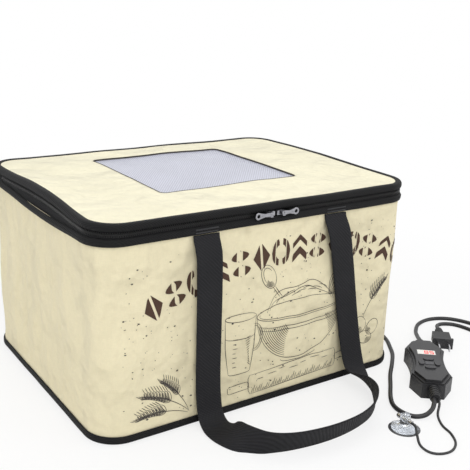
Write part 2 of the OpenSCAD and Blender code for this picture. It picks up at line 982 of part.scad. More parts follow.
// Four turns of cord, closed rings side by side and stacked
module power_coil() {
    color(black)
        translate([coil_x, coil_y, 0])
            for (i = [-0.5, 0.5])
                for (j = [0, 1])
                    translate([0, 0, cord_d / 2 + 0.1 + j * coil_step])
                        rotate_extrude()
                            translate([coil_r + i * coil_step, 0])
                                circle(d = cord_d, $fn = 24);
}

plug_run = [
    plug_pt(0, 27, 7),
    plug_pt(0, 36, 6.4),
    [323, -114, 4.4], [336, -112, 2.9], [348, -121, 2.7], [354, -140, 2.7], [354, -165, 2.7],
    [348, -192, 2.7], [334, -216, 2.7], [321, -232, 2.7], coil_near(98), coil_side(98)];
module plug_cord() {
    color(black)
        tube(run_pts(plug_run, 3), cord_d, 10);
}

plug_z = 7;
module plug_body() {
    color(black)
        at_plug()
            translate([0, 0, plug_z])
                union() {
                    translate([-13, -17, -plug_z + 0.1])
                        cube([26, 3.8, 14]);
                    translate([-11, -13.2, -6])
                        cube([22, 22, 12]);
                    translate([0, 8.6, 0])
                        rotate([-90, 0, 0])
                            cylinder(d1 = 12, d2 = 8.4, h = 18.4);
                    for (i = [0 : 3])
                        translate([0, 11 + i * 4, 0])
                            rotate([-90, 0, 0])
                                cylinder(d = 12.2 - i * 0.8, h = 2);
                }
}

module plug_blades() {
    color(steel)
        at_plug()
            translate([0, -17, plug_z])
                for (s = [-1, 1])
                    difference() {
                        translate([s * 6.35 - 0.75, -16.5, -3.2])
                            cube([1.5, 16.5, 6.4]);
                        translate([s * 6.35, -12.5, 0])
                            rotate([0, 90, 0])
                                cylinder(d = 3, h = 6, center = true, $fn = 24);
                    }
}

bottom_panel();
base_board();
bottom_binding();
outer_cloth();
foam_front();
foam_back();
foam_left();
foam_right();
foam_corners();
foil_lining();
heating_mat();
mat_gland();
cable_grommet();
rim_band();
rim_core();
rim_zip_tape();
rim_teeth();
rim_hinge_tape();
strap_tacks_front();
strap_tacks_back();
lid_core();
lid_cloth();
lid_lining();
lid_binding();
window_pane();
window_hem();
lid_zip_tape();
lid_teeth();
lid_hinge_tape();
slider_left();
slider_right();
pull_left();
pull_right();
front_handle();
back_handle();
case_lower();
case_upper();
display_window();
display_digits();
key_pad();
button_power();
button_down();
button_up();
button_set();
circuit_board();
case_screws();
relief_top();
relief_bottom();
mat_cord();
probe_lead();
probe_tip();
suction_cup();
power_cord();
power_coil();
plug_cord();
plug_body();
plug_blades();
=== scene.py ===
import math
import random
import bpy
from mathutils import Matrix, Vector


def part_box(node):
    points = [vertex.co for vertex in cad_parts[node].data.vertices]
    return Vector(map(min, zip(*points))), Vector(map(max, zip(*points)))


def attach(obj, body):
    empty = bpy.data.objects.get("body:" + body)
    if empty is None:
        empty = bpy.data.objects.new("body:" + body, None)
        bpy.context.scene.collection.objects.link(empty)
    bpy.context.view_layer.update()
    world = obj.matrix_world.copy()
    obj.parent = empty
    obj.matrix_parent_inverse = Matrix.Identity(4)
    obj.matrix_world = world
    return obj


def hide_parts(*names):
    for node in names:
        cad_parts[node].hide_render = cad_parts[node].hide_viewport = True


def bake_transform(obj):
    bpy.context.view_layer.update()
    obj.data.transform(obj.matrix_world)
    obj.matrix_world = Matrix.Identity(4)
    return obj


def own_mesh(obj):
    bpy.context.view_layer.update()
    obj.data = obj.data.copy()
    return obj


bl_info = {
    "name": "Folding Dough Proofer",
    "version": (1, 0, 0),
    "blender": (4, 5, 0),
    "location": "View3D > Sidebar > Proofer",
    "description": "Dresses the folding dough proofer with cloth, webbing, zipper, print and cords",
    "category": "Add Mesh",
}

import bpy
from bpy.props import FloatProperty, FloatVectorProperty, PointerProperty
from mathutils import Matrix, Vector, noise

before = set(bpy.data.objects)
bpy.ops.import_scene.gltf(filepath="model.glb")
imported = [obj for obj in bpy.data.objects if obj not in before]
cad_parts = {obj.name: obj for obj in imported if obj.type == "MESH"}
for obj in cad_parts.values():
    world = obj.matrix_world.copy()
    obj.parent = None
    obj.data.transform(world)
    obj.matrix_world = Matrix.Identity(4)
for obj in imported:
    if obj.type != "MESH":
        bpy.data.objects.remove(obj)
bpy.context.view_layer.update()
MM = 0.001


# Sizes read from the frame

def top_of(node):
    """Highest corner of a CAD node."""
    return Vector(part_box(node)[1])


def low_of(node):
    """Lowest corner of a CAD node."""
    return Vector(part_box(node)[0])


MOUTH_X = top_of("outer_cloth").x
MOUTH_Y = top_of("outer_cloth").y
WALL_TOP = top_of("outer_cloth").z
BASE_X = top_of("bottom_panel").x + 0.2 * MM
BASE_Y = top_of("bottom_panel").y + 0.2 * MM
CORNER = 34 * MM
BAND_LOW = low_of("rim_band").z
BAND_HIGH = top_of("rim_band").z
LID_LOW = low_of("lid_binding").z
LID_HIGH = top_of("lid_binding").z
TEETH_MID = (low_of("rim_teeth").z + top_of("lid_teeth").z) / 2
WINDOW_HALF = (top_of("window_hem").x - low_of("window_hem").x) / 2
WINDOW_Y = (top_of("window_hem").y + low_of("window_hem").y) / 2
CORD = 5.2 * MM
LEAD = 2.8 * MM


def srgb(red, green, blue):
    """Linear colour of a colour written as 0 to 255."""
    def channel(value):
        value /= 255
        return value / 12.92 if value <= 0.04045 else ((value + 0.055) / 1.055) ** 2.4
    return (channel(red), channel(green), channel(blue))


class ProoferSizes(bpy.types.PropertyGroup):
    """Sizes that shape the soft pieces."""
    gather_depth: FloatProperty(name="Gather depth", description="Depth of the small gathers under the rim",
                                default=2.4 * MM, unit="LENGTH")
    fold_depth: FloatProperty(name="Fold depth", description="Depth of the wide soft folds in the walls",
                              default=5.0 * MM, unit="LENGTH")
    lid_dome: FloatProperty(name="Lid dome", description="How far the lid swells in the middle",
                            default=4.0 * MM, unit="LENGTH")
    side_gape: FloatProperty(name="Side gape", description="How far lid and rim bulge apart on the left",
                             default=6.0 * MM, unit="LENGTH")
    strap_width: FloatProperty(name="Webbing width", description="Width of the handle webbing",
                               default=30 * MM, unit="LENGTH")
    strap_thickness: FloatProperty(name="Webbing thickness", description="Thickness of the handle webbing",
                                   default=2.0 * MM, unit="LENGTH")
    tooth_spacing: FloatProperty(name="Tooth spacing", description="Distance between zipper teeth",
                                 default=2.2 * MM, unit="LENGTH")
    line_width: FloatProperty(name="Line width", description="Width of the printed lines",
                              default=0.75 * MM, unit="LENGTH")


class ProoferColours(bpy.types.PropertyGroup):
    """Colours of the finishes."""
    canvas: FloatVectorProperty(name="Canvas", description="Colour of the wall cloth", subtype="COLOR",
                                default=srgb(232, 222, 188))
    lid: FloatVectorProperty(name="Lid cloth", description="Colour of the lid cloth", subtype="COLOR",
                             default=srgb(245, 239, 211))
    webbing: FloatVectorProperty(name="Webbing", description="Colour of the bindings", subtype="COLOR",
                                 default=srgb(17, 17, 18))
    brown: FloatVectorProperty(name="Print brown", description="Colour of the ornaments", subtype="COLOR",
                               default=srgb(70, 47, 33))
    ink: FloatVectorProperty(name="Print grey", description="Colour of the line drawing", subtype="COLOR",
                             default=srgb(72, 67, 62))
    film: FloatVectorProperty(name="Window film", description="Colour of the lid window", subtype="COLOR",
                              default=srgb(192, 194, 208))
    floor: FloatVectorProperty(name="Floor", description="Colour of the floor", subtype="COLOR",
                               default=(0.92, 0.92, 0.92))


def sizes():
    return bpy.context.scene.proofer_sizes


def colours():
    return bpy.context.scene.proofer_colours


# Shader node groups

def new_group(name, inputs, outputs):
    """Empty shader group with named sockets."""
    group = bpy.data.node_groups.new(name, "ShaderNodeTree")
    for label, default in inputs:
        socket = group.interface.new_socket(label, in_out="INPUT", socket_type="NodeSocketFloat")
        socket.default_value = default
    for label, kind in outputs:
        group.interface.new_socket(label, in_out="OUTPUT", socket_type=kind)
    return group, group.nodes.new("NodeGroupInput"), group.nodes.new("NodeGroupOutput")


def math_node(tree, operation, first, second, third=None):
    """Math node whose inputs are sockets or numbers."""
    node = tree.nodes.new("ShaderNodeMath")
    node.operation = operation
    for slot, value in enumerate((first, second, third)):
        if value is None:
            continue
        if isinstance(value, (int, float)):
            node.inputs[slot].default_value = value
        else:
            tree.links.new(value, node.inputs[slot])
    return node.outputs[0]


def weave_group():
    """Short uneven threads both ways, from stretched noise."""
    group, entry, leave = new_group("plain weave", [("Thread scale", 300.0), ("Depth", 1.0)],
                                    [("Height", "NodeSocketFloat"), ("Shade", "NodeSocketFloat")])
    place = group.nodes.new("ShaderNodeTexCoord")
    total = 0.0
    for stretch in ((1.0, 1.0, 0.25), (0.25, 0.25, 1.0)):
        along = group.nodes.new("ShaderNodeMapping")
        along.inputs["Scale"].default_value = stretch
        group.links.new(place.outputs["Object"], along.inputs["Vector"])
        threads = group.nodes.new("ShaderNodeTexNoise")
        threads.inputs["Detail"].default_value = 1.0
        group.links.new(entry.outputs["Thread scale"], threads.inputs["Scale"])
        group.links.new(along.outputs["Vector"], threads.inputs["Vector"])
        total = math_node(group, "ADD", threads.outputs["Fac"], total)
    height = math_node(group, "MULTIPLY", total, entry.outputs["Depth"])
    group.links.new(height, leave.inputs["Height"])
    group.links.new(math_node(group, "MULTIPLY_ADD", total, 0.08, 0.92), leave.inputs["Shade"])
    return group


def twill_group():
    """Slanting ribs of webbing and tape."""
    group, entry, leave = new_group("twill", [("Rib scale", 120.0), ("Depth", 1.0)],
                                    [("Height", "NodeSocketFloat"), ("Shade", "NodeSocketFloat")])
    place = group.nodes.new("ShaderNodeTexCoord")
    wave = group.nodes.new("ShaderNodeTexWave")
    wave.bands_direction = "DIAGONAL"
    wave.inputs["Distortion"].default_value = 1.2
    wave.inputs["Detail"].default_value = 1.0
    group.links.new(entry.outputs["Rib scale"], wave.inputs["Scale"])
    group.links.new(place.outputs["Object"], wave.inputs["Vector"])
    group.links.new(math_node(group, "MULTIPLY", wave.outputs["Fac"], entry.outputs["Depth"]),
                    leave.inputs["Height"])
    group.links.new(math_node(group, "MULTIPLY_ADD", wave.outputs["Fac"], 0.5, 0.7), leave.inputs["Shade"])
    return group


def mottle_group():
    """Soft uneven patches, for colour and roughness."""
    group, entry, leave = new_group("mottle", [("Patch scale", 12.0), ("Low", 0.9), ("High", 1.0)],
                                    [("Shade", "NodeSocketFloat"), ("Fine", "NodeSocketFloat")])
    place = group.nodes.new("ShaderNodeTexCoord")
    for scale_by, label in ((1.0, "Shade"), (30.0, "Fine")):
        cloud = group.nodes.new("ShaderNodeTexNoise")
        cloud.inputs["Detail"].default_value = 3.0
        group.links.new(math_node(group, "MULTIPLY", entry.outputs["Patch scale"], scale_by),
                        cloud.inputs["Scale"])
        group.links.new(place.outputs["Object"], cloud.inputs["Vector"])
        span = math_node(group, "SUBTRACT", entry.outputs["High"], entry.outputs["Low"])
        group.links.new(math_node(group, "MULTIPLY_ADD", cloud.outputs["Fac"], span, entry.outputs["Low"]),
                        leave.inputs[label])
    return group


def edge_wear_and_shading_group():
    """Lighter edges from rubbed wear and a painted bevel highlight, and darker hollows as painted shade, from
    how pointed the surface is.
    """
    group, entry, leave = new_group("edge wear and painted shading", [("Amount", 0.5)], [("Mask", "NodeSocketFloat")])
    place = group.nodes.new("ShaderNodeNewGeometry")
    sharp = math_node(group, "SUBTRACT", place.outputs["Pointiness"], 0.52)
    group.links.new(math_node(group, "MULTIPLY", math_node(group, "MULTIPLY", sharp, 12.0),
                              entry.outputs["Amount"]), leave.inputs["Mask"])
    return group


def shared_group(name, maker):
    """The group of this name, made when it is first asked for."""
    return bpy.data.node_groups.get(name) or maker()


class Finish:
    """One material with its Principled shader, and short ways to build on it."""

    def __init__(self, name, colour, roughness, metallic=0.0):
        self.material = bpy.data.materials.new(name)
        self.material.use_nodes = True
        self.tree = self.material.node_tree
        self.shader = self.tree.nodes["Principled BSDF"]
        self.colour = (*colour[:3], 1.0)
        self.shader.inputs["Base Color"].default_value = self.colour
        self.shader.inputs["Roughness"].default_value = roughness
        self.shader.inputs["Metallic"].default_value = metallic

    def add_group(self, name, maker, **values):
        """One of the shared groups, with its inputs set."""
        node = self.tree.nodes.new("ShaderNodeGroup")
        node.node_tree = shared_group(name, maker)
        for label, value in values.items():
            node.inputs[label.replace("_", " ")].default_value = value
        return node

    def mottle(self, scale, low, high):
        """Shade and fine grain of uneven patches."""
        node = self.add_group("mottle", mottle_group, Patch_scale=scale, Low=low, High=high)
        return node.outputs["Shade"], node.outputs["Fine"]

    def tint(self, *shades):
        """Base colour times each shade."""
        total = shades[0]
        for shade in shades[1:]:
            total = math_node(self.tree, "MULTIPLY", total, shade)
        mix = self.tree.nodes.new("ShaderNodeMix")
        mix.data_type = "RGBA"
        mix.blend_type = "MULTIPLY"
        mix.inputs["Factor"].default_value = 1.0
        mix.inputs["A"].default_value = self.colour
        self.tree.links.new(total, mix.inputs["B"])
        self.tree.links.new(mix.outputs["Result"], self.shader.inputs["Base Color"])

    def bump(self, height, distance, strength=1.0):
        """Relief that feeds the shader's normal."""
        node = self.tree.nodes.new("ShaderNodeBump")
        node.inputs["Distance"].default_value = distance
        node.inputs["Strength"].default_value = strength
        self.tree.links.new(height, node.inputs["Height"])
        self.tree.links.new(node.outputs["Normal"], self.shader.inputs["Normal"])
        return node


WRINKLE_SCALE = 16.0


def canvas_finish(name, colour):
    """Woven cotton canvas with wide soft wrinkles, a fine crumple, and an uneven tone that also paints
    blotchy wrinkle shade.
    """
    finish = Finish(name, colour, 0.85)
    weave = finish.add_group("plain weave", weave_group, Thread_scale=900.0, Depth=0.25)
    # The mottle tint is uneven tone and also painted shade of soft blotchy wrinkles.
    shade, grain = finish.mottle(9.0, 0.88, 1.08)
    finish.tint(weave.outputs["Shade"], shade)
    wide = finish.bump(finish.mottle(WRINKLE_SCALE, 0.0, 1.0)[0], 22 * MM)
    crumple = math_node(finish.tree, "MULTIPLY_ADD", grain, 1.2, weave.outputs["Height"])
    fine = finish.bump(crumple, 0.5 * MM, 0.6)
    finish.tree.links.new(wide.outputs["Normal"], fine.inputs["Normal"])
    finish.shader.inputs["Sheen Weight"].default_value = 0.1
    return finish.material


def webbing_finish(name, colour, rib_scale=150.0):
    """Black ribbed webbing or binding tape."""
    finish = Finish(name, colour, 0.72)
    twill = finish.add_group("twill", twill_group, Rib_scale=rib_scale, Depth=1.0)
    shade = finish.mottle(30.0, 0.75, 1.25)[0]
    finish.tint(twill.outputs["Shade"], shade)
    finish.bump(twill.outputs["Height"], 0.35 * MM, 0.8)
    finish.shader.inputs["Sheen Weight"].default_value = 0.02
    finish.shader.inputs["Specular IOR Level"].default_value = 0.22
    return finish.material


def moulded_finish(name, colour, roughness=0.42, depth=0.12):
    """Moulded plastic or rubber with fine spark grain, rubbed edges with a painted highlight and painted
    shade in the hollows.
    """
    finish = Finish(name, colour, roughness)
    shade, grain = finish.mottle(60.0, 0.8, 1.2)
    wear_and_shading = finish.add_group("edge wear and painted shading", edge_wear_and_shading_group, Amount=0.6)
    # Painted shading: convex edges lighter from wear and a painted highlight, hollows darker as painted
    # shade.
    finish.tint(math_node(finish.tree, "ADD", shade, wear_and_shading.outputs["Mask"]))
    finish.bump(grain, depth * MM, 0.5)
    return finish.material


def metal_finish(name, colour, roughness):
    """Plated or brushed metal."""
    finish = Finish(name, colour, roughness, 1.0)
    shade, grain = finish.mottle(140.0, 0.75, 1.15)
    finish.tint(shade)
    rough = math_node(finish.tree, "MULTIPLY", grain, roughness)
    finish.tree.links.new(rough, finish.shader.inputs["Roughness"])
    return finish.material


def foil_finish(name, colour):
    """Crinkled foil film of the lining."""
    finish = Finish(name, colour, 0.32, 0.85)
    shade, grain = finish.mottle(25.0, 0.8, 1.1)
    finish.tint(shade)
    finish.bump(grain, 1.2 * MM, 0.7)
    return finish.material


def film_finish(name, colour):
    """Window film with a fine slanted dot pattern."""
    finish = Finish(name, colour, 0.28)
    place = finish.tree.nodes.new("ShaderNodeTexCoord")
    turn = finish.tree.nodes.new("ShaderNodeMapping")
    turn.inputs["Rotation"].default_value = (0, 0, math.radians(38))
    finish.tree.links.new(place.outputs["Object"], turn.inputs["Vector"])
    total = 0.0
    for direction in ("X", "Y"):
        wave = finish.tree.nodes.new("ShaderNodeTexWave")
        wave.bands_direction = direction
        wave.inputs["Scale"].default_value = 125.0
        wave.inputs["Detail"].default_value = 0.0
        finish.tree.links.new(turn.outputs["Vector"], wave.inputs["Vector"])
        total = math_node(finish.tree, "ADD", wave.outputs["Fac"], total)
    shade = finish.mottle(14.0, 0.82, 1.18)[0]
    finish.tint(math_node(finish.tree, "MULTIPLY_ADD", total, 0.34, 0.68), shade)
    finish.bump(total, 0.2 * MM, 0.6)
    return finish.material


def lit_finish(name, colour, strength):
    """Backlit display."""
    finish = Finish(name, colour, 0.2)
    shade = finish.mottle(20.0, 0.9, 1.1)[0]
    finish.tint(shade)
    finish.shader.inputs["Emission Color"].default_value = finish.colour
    finish.shader.inputs["Emission Strength"].default_value = strength
    return finish.material


def clear_finish(name):
    """Clear soft plastic."""
    finish = Finish(name, (0.93, 0.96, 1.0), 0.08)
    finish.shader.inputs["Transmission Weight"].default_value = 0.9
    finish.shader.inputs["IOR"].default_value = 1.35
    shade = finish.mottle(60.0, 0.95, 1.0)[0]
    finish.tint(shade)
    return finish.material


def dress(node, material):
    """Give a CAD node a finish."""
    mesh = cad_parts[node].data
    mesh.materials.clear()
    mesh.materials.append(material)


# The mouth outline, walked from the front left corner round by the right

FRONT, SIDE, TURN = 120, 90, 18


def walk():
    """Segment and place in it for every column of a closed ring."""
    steps = []
    for segment, count in enumerate((FRONT, TURN, SIDE, TURN, FRONT, TURN, SIDE, TURN)):
        steps += [(segment, i / count) for i in range(count)]
    return steps


WALK = walk()


def on_outline(step, half_x, half_y, radius):
    """Point and outward direction of one step on a rounded rectangle."""
    segment, t = step
    inner_x, inner_y = half_x - radius, half_y - radius
    side, odd = divmod(segment, 2)
    heading = side * math.pi / 2
    if odd:
        centre = ((inner_x, -inner_y), (inner_x, inner_y), (-inner_x, inner_y), (-inner_x, -inner_y))[side]
        angle = -math.pi / 2 + heading + t * math.pi / 2
        out = Vector((math.cos(angle), math.sin(angle), 0))
        return Vector((centre[0], centre[1], 0)) + out * radius, out
    span = 2 * t - 1
    point = ((span * inner_x, -half_y), (half_x, span * inner_y),
             (-span * inner_x, half_y), (-half_x, -span * inner_y))[side]
    out = Vector((math.sin(heading), -math.cos(heading), 0))
    return Vector((point[0], point[1], 0)), out


def wall_half(z):
    """Half width and half depth of the wall at a height."""
    t = z / WALL_TOP
    return BASE_X + (MOUTH_X - BASE_X) * t, BASE_Y + (MOUTH_Y - BASE_Y) * t


def fade(value, low, high):
    """0 below low, 1 above high, smooth between."""
    t = min(1.0, max(0.0, (value - low) / (high - low)))
    return t * t * (3 - 2 * t)


def hill(value, centre, width):
    """1 at the centre, falling to both sides."""
    return math.exp(-((value - centre) / width) ** 2)


def wall_relief(point, z):
    """How far the wall cloth stands out, from gathers at the rim and soft folds."""
    turn = math.atan2(point.y / MOUTH_Y, point.x / MOUTH_X)
    around = turn * 0.22
    below = WALL_TOP - z
    gather = noise.noise(Vector((around * 130, z * 8, 2.0)))
    gather += 0.7 * noise.noise(Vector((around * 260, z * 14, 7.0)))
    depth = sizes().gather_depth * gather * math.exp(-below / (26 * MM))
    wide = noise.noise(Vector((around * 22 + z * 3, z * 6, 4.0)))
    wide += 0.5 * noise.noise(Vector((around * 48 - z * 9, z * 10, 9.0)))
    depth += sizes().fold_depth * wide * fade(z, 8 * MM, 70 * MM) * (0.35 + 0.65 * fade(below, 0, 90 * MM))
    if point.y < -0.9 * wall_half(z)[1]:
        middle = fade(z, 15 * MM, 60 * MM) * fade(below, -5 * MM, 40 * MM)
        depth -= 3.2 * MM * middle * hill(point.x, -108 * MM, 16 * MM)
        depth -= 2.6 * MM * middle * hill(point.x, 66 * MM, 13 * MM)
        depth -= 1.6 * MM * middle * hill(point.x, -38 * MM, 18 * MM)
    hidden = fade(z, 9 * MM, 20 * MM) * fade(below, 3 * MM, 7 * MM)
    return (min(depth, 2.6 * MM) - 0.8 * MM) * hidden if abs(point.y) < 0.97 * wall_half(z)[1] \
        else (min(depth, 0.6 * MM) - 0.7 * MM) * hidden


def grid_mesh(name, rows, close_rows=False, close_columns=False):
    """Smooth mesh from rows of points."""
    count = len(rows[0])
    points = [tuple(point) for row in rows for point in row]
    faces = []
    for i in range(len(rows) if close_rows else len(rows) - 1):
        for j in range(count if close_columns else count - 1):
            a, b = i * count + j, i * count + (j + 1) % count
            c, d = ((i + 1) % len(rows)) * count + (j + 1) % count, ((i + 1) % len(rows)) * count + j
            faces.append((a, b, c, d))
    return mesh_piece(name, points, faces)


def placed(name, data):
    """New object in the scene."""
    piece = bpy.data.objects.new(name, data)
    bpy.context.scene.collection.objects.link(piece)
    return piece


def mesh_piece(name, points, faces, smooth=True):
    """Mesh object from points and faces."""
    mesh = bpy.data.meshes.new(name)
    mesh.from_pydata(points, [], faces)
    mesh.validate()
    if smooth:
        mesh.shade_smooth()
    else:
        mesh.shade_flat()
    return placed(name, mesh)


def finish_piece(piece, body, material, nodes=()):
    """Material, body and replaced nodes of one piece."""
    piece.data.materials.clear()
    piece.data.materials.append(material)
    if body:
        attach(piece, body)
    if nodes:
        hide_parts(*nodes)
    return piece


def fold_with_rim(piece):
    """Give the piece a mesh of its own."""
    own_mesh(piece)


# Rings swept along the mouth

def side_lift(point):
    """0 to 1: how much lid and rim bulge apart, strongest mid left."""
    left = fade(-point.x, 150 * MM, 196 * MM) * hill(point.y, -10 * MM, 85 * MM)
    right = 0.35 * fade(point.x, 150 * MM, 196 * MM) * hill(point.y, 20 * MM, 80 * MM)
    return left + right


def lid_rise(point):
    """How far the lid binding stands above its plain height."""
    wave = noise.noise(Vector((point.x * 14, point.y * 14, 3.0)))
    return sizes().side_gape * side_lift(point) + 1.2 * MM * wave


def rim_rise(point):
    """How far the rim band stands above its plain height."""
    wave = noise.noise(Vector((point.x * 12, point.y * 12, 8.0)))
    return -0.75 * sizes().side_gape * side_lift(point) + 0.7 * MM * wave


def ring(name, profile, half_x, half_y, rise=None, wobble=0.0, steps=None, seed=0.0):
    """Closed profile of offset and height, in millimetres, swept along the outline."""
    rows = []
    for step in steps or WALK:
        place, out = on_outline(step, half_x, half_y, CORNER)
        sway = wobble * noise.noise(Vector((place.x * 26, place.y * 26, seed)))
        lift = rise(place) if rise else 0.0
        rows.append([place + out * (offset * MM + sway) + Vector((0, 0, height * MM + lift))
                     for offset, height in profile])
    piece = grid_mesh(name, rows, close_rows=steps is None, close_columns=True)
    round_off = piece.modifiers.new("round", "SUBSURF")
    round_off.levels = 1
    round_off.render_levels = 1
    return piece


def zip_steps():
    """Steps that carry the zipper, from the back left round the front to the back right."""
    left = [step for step in WALK if step[0] == 6 and step[1] > 0.06]
    corner = [step for step in WALK if step[0] == 7]
    front = [step for step in WALK if step[0] in (0, 1)]
    right = [step for step in WALK if step[0] == 2 and step[1] < 0.94]
    return left + corner + front + right


# Cord routes, repeated from part.scad in metres

CASE_X, CASE_Y = 205 * MM, -205 * MM
PLUG_X, PLUG_Y = 290 * MM, -150 * MM
TURNED = math.radians(40)
CASE_END = (115 / 2 + 20) * MM
COIL_X, COIL_Y, COIL_R, COIL_STEP = 322 * MM, -290 * MM, 31 * MM, 5.3 * MM


def near_case(x, y, z):
    """Point given beside the controller, in millimetres along its own sides."""
    return Vector((CASE_X + (x * math.cos(TURNED) + y * math.sin(TURNED)) * MM,
                   CASE_Y + (-x * math.sin(TURNED) + y * math.cos(TURNED)) * MM, z * MM))


def near_plug(y, z):
    """Point on the line through the plug, in millimetres."""
    return Vector((PLUG_X + y * MM * math.sin(TURNED), PLUG_Y + y * MM * math.cos(TURNED), z * MM))


def spot(x, y, z):
    """Point given in millimetres."""
    return Vector((x, y, z)) * MM


END = CASE_END / MM
MAT_ROUTE = [near_case(-2.2, -END, 11), near_case(-2.6, -END - 8, 10), near_case(-6, -END - 18, 7.4),
             near_case(-14, -END - 26, 4.4), near_case(-26, -END - 28, 2.9), near_case(-38, -END - 21, 2.8),
             near_case(-46, -END - 8, 2.8), near_case(-48, -END + 10, 2.8), near_case(-46, -END + 40, 2.8),
             near_case(-44, -END + 68, 2.8), near_case(-40, -END + 95, 2.8), spot(206, -146, 2.8),
             spot(219, -128, 2.8), spot(230, -110, 3), spot(233, -93, 5.4), spot(228, -79, 9.6),
             spot(217, -71, 13.6), spot(206, -70, 15), spot(185, -70, 15), spot(165, -70, 15),
             spot(141, -70, 15)]
PROBE_ROUTE = [near_case(3, -END, 11), near_case(3.2, -END - 8, 9.6), spot(138, -284, 5.5),
               spot(131, -297, 2.2), spot(127, -313, 1.6), spot(116, -329, 1.6), spot(99, -336, 1.6),
               spot(83, -329, 1.6), spot(80, -315, 3), spot(86, -303, 8), spot(92, -295, 11),
               spot(94, -288, 11)]
POWER_ROUTE = [near_case(0, 71.5, 11), near_case(0, 81.5, 9.5), spot(270, -127, 5.5), spot(285, -110, 2.8),
               spot(306, -95, 2.7), spot(332, -91, 2.7), spot(356, -102, 2.7), spot(371, -126, 2.7),
               spot(376, -158, 2.7), spot(374, -195, 2.7), spot(366, -232, 2.7)]
PLUG_ROUTE = [spot(321, -232, 2.7), spot(334, -216, 2.7), spot(348, -192, 2.7), spot(354, -165, 2.7),
              spot(354, -140, 2.7), spot(348, -121, 2.7), spot(336, -112, 2.9), spot(323, -114, 4.4),
              near_plug(36, 6.4), near_plug(27, 7)]


def coil_route():
    """Clockwise turns: wide and low, narrow and low, narrow and high, wide and high."""
    route = []
    start, end = -10, -1294.5
    steps = 60
    for i in range(steps + 1):
        turned = (end - start) * i / steps
        angle = math.radians(start + turned)
        inward = fade(-turned, 300, 360) - fade(-turned, 1020, 1080)
        high = fade(-turned, 640, 715)
        wide = COIL_R + (0.5 - inward) * COIL_STEP
        route.append(Vector((COIL_X + wide * math.cos(angle), COIL_Y + wide * math.sin(angle),
                             2.7 * MM + high * COIL_STEP)))
    return route


def cord_curve(name, route, diameter, material):
    """Round cord on one open smooth spline through the route's points."""
    curve = bpy.data.curves.new(name, "CURVE")
    curve.dimensions = "3D"
    curve.bevel_depth = diameter / 2
    curve.bevel_resolution = 3
    curve.resolution_u = 6
    curve.use_fill_caps = True
    spline = curve.splines.new("BEZIER")
    spline.bezier_points.add(len(route) - 1)
    for i, point in enumerate(route):
        before, after = route[max(i - 1, 0)], route[min(i + 1, len(route) - 1)]
        lean = (after - before).normalized()
        knot = spline.bezier_points[i]
        knot.co = point
        knot.handle_left = point - lean * (point - before).length / 3
        knot.handle_right = point + lean * (after - point).length / 3
    curve.materials.append(material)
    return placed(name, curve)


def smooth_run(points, parts):
    """Smooth curve through points, with this many parts between neighbours."""
    run = []
    for i in range(len(points) - 1):
        a, b = points[max(i - 1, 0)], points[i]
        c, d = points[i + 1], points[min(i + 2, len(points) - 1)]
        for k in range(parts):
            t = k / parts
            run.append(0.5 * ((2 * b) + (c - a) * t + (2 * a - 5 * b + 4 * c - d) * t * t
                              + (3 * b - a - 3 * c + d) * t ** 3))
    return run + [points[-1]]


class PROOFER_OT_camera(bpy.types.Operator):
    """Place the camera at the photograph's viewing angle"""
    bl_idname = "proofer.camera"
    bl_label = "Camera"

    def execute(self, context):
        lens_pixels, width = 795.7, 470
        yaw, pitch, roll = math.radians(34.42), math.radians(17.62), math.radians(2.085)
        data = bpy.data.cameras.new("camera")
        data.sensor_width = 36
        data.lens = lens_pixels / width * 36
        data.clip_end = 50
        camera = placed("camera", data)
        turn = Matrix.Rotation(-yaw, 4, "Z") @ Matrix.Rotation(math.pi / 2 - pitch, 4, "X")
        camera.matrix_world = Matrix.Translation(Vector((-481.2, -786.7, 444.8)) * MM) @ turn \
            @ Matrix.Rotation(roll, 4, "Z")
        context.scene.camera = camera
        return {"FINISHED"}


class PROOFER_OT_cords(bpy.types.Operator):
    """Lay the mat lead, the probe lead and the power cord with its coil"""
    bl_idname = "proofer.cords"
    bl_label = "Cords"

    def execute(self, context):
        rubber = moulded_finish("cord rubber", srgb(24, 24, 26), 0.45, 0.05)
        mat = cord_curve("mat_lead", MAT_ROUTE, CORD, rubber)
        finish_cord(mat, "mat_cord")
        probe = cord_curve("probe_wire", PROBE_ROUTE, LEAD, rubber)
        finish_cord(probe, "probe_lead")
        route = POWER_ROUTE + coil_route() + PLUG_ROUTE
        power = cord_curve("power_lead", route, CORD, rubber)
        finish_cord(power, "power_cord", "power_coil", "plug_cord")
        return {"FINISHED"}


def finish_cord(piece, *nodes):
    """Body and replaced nodes of a cord."""
    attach(piece, "base")
    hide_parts(*nodes)


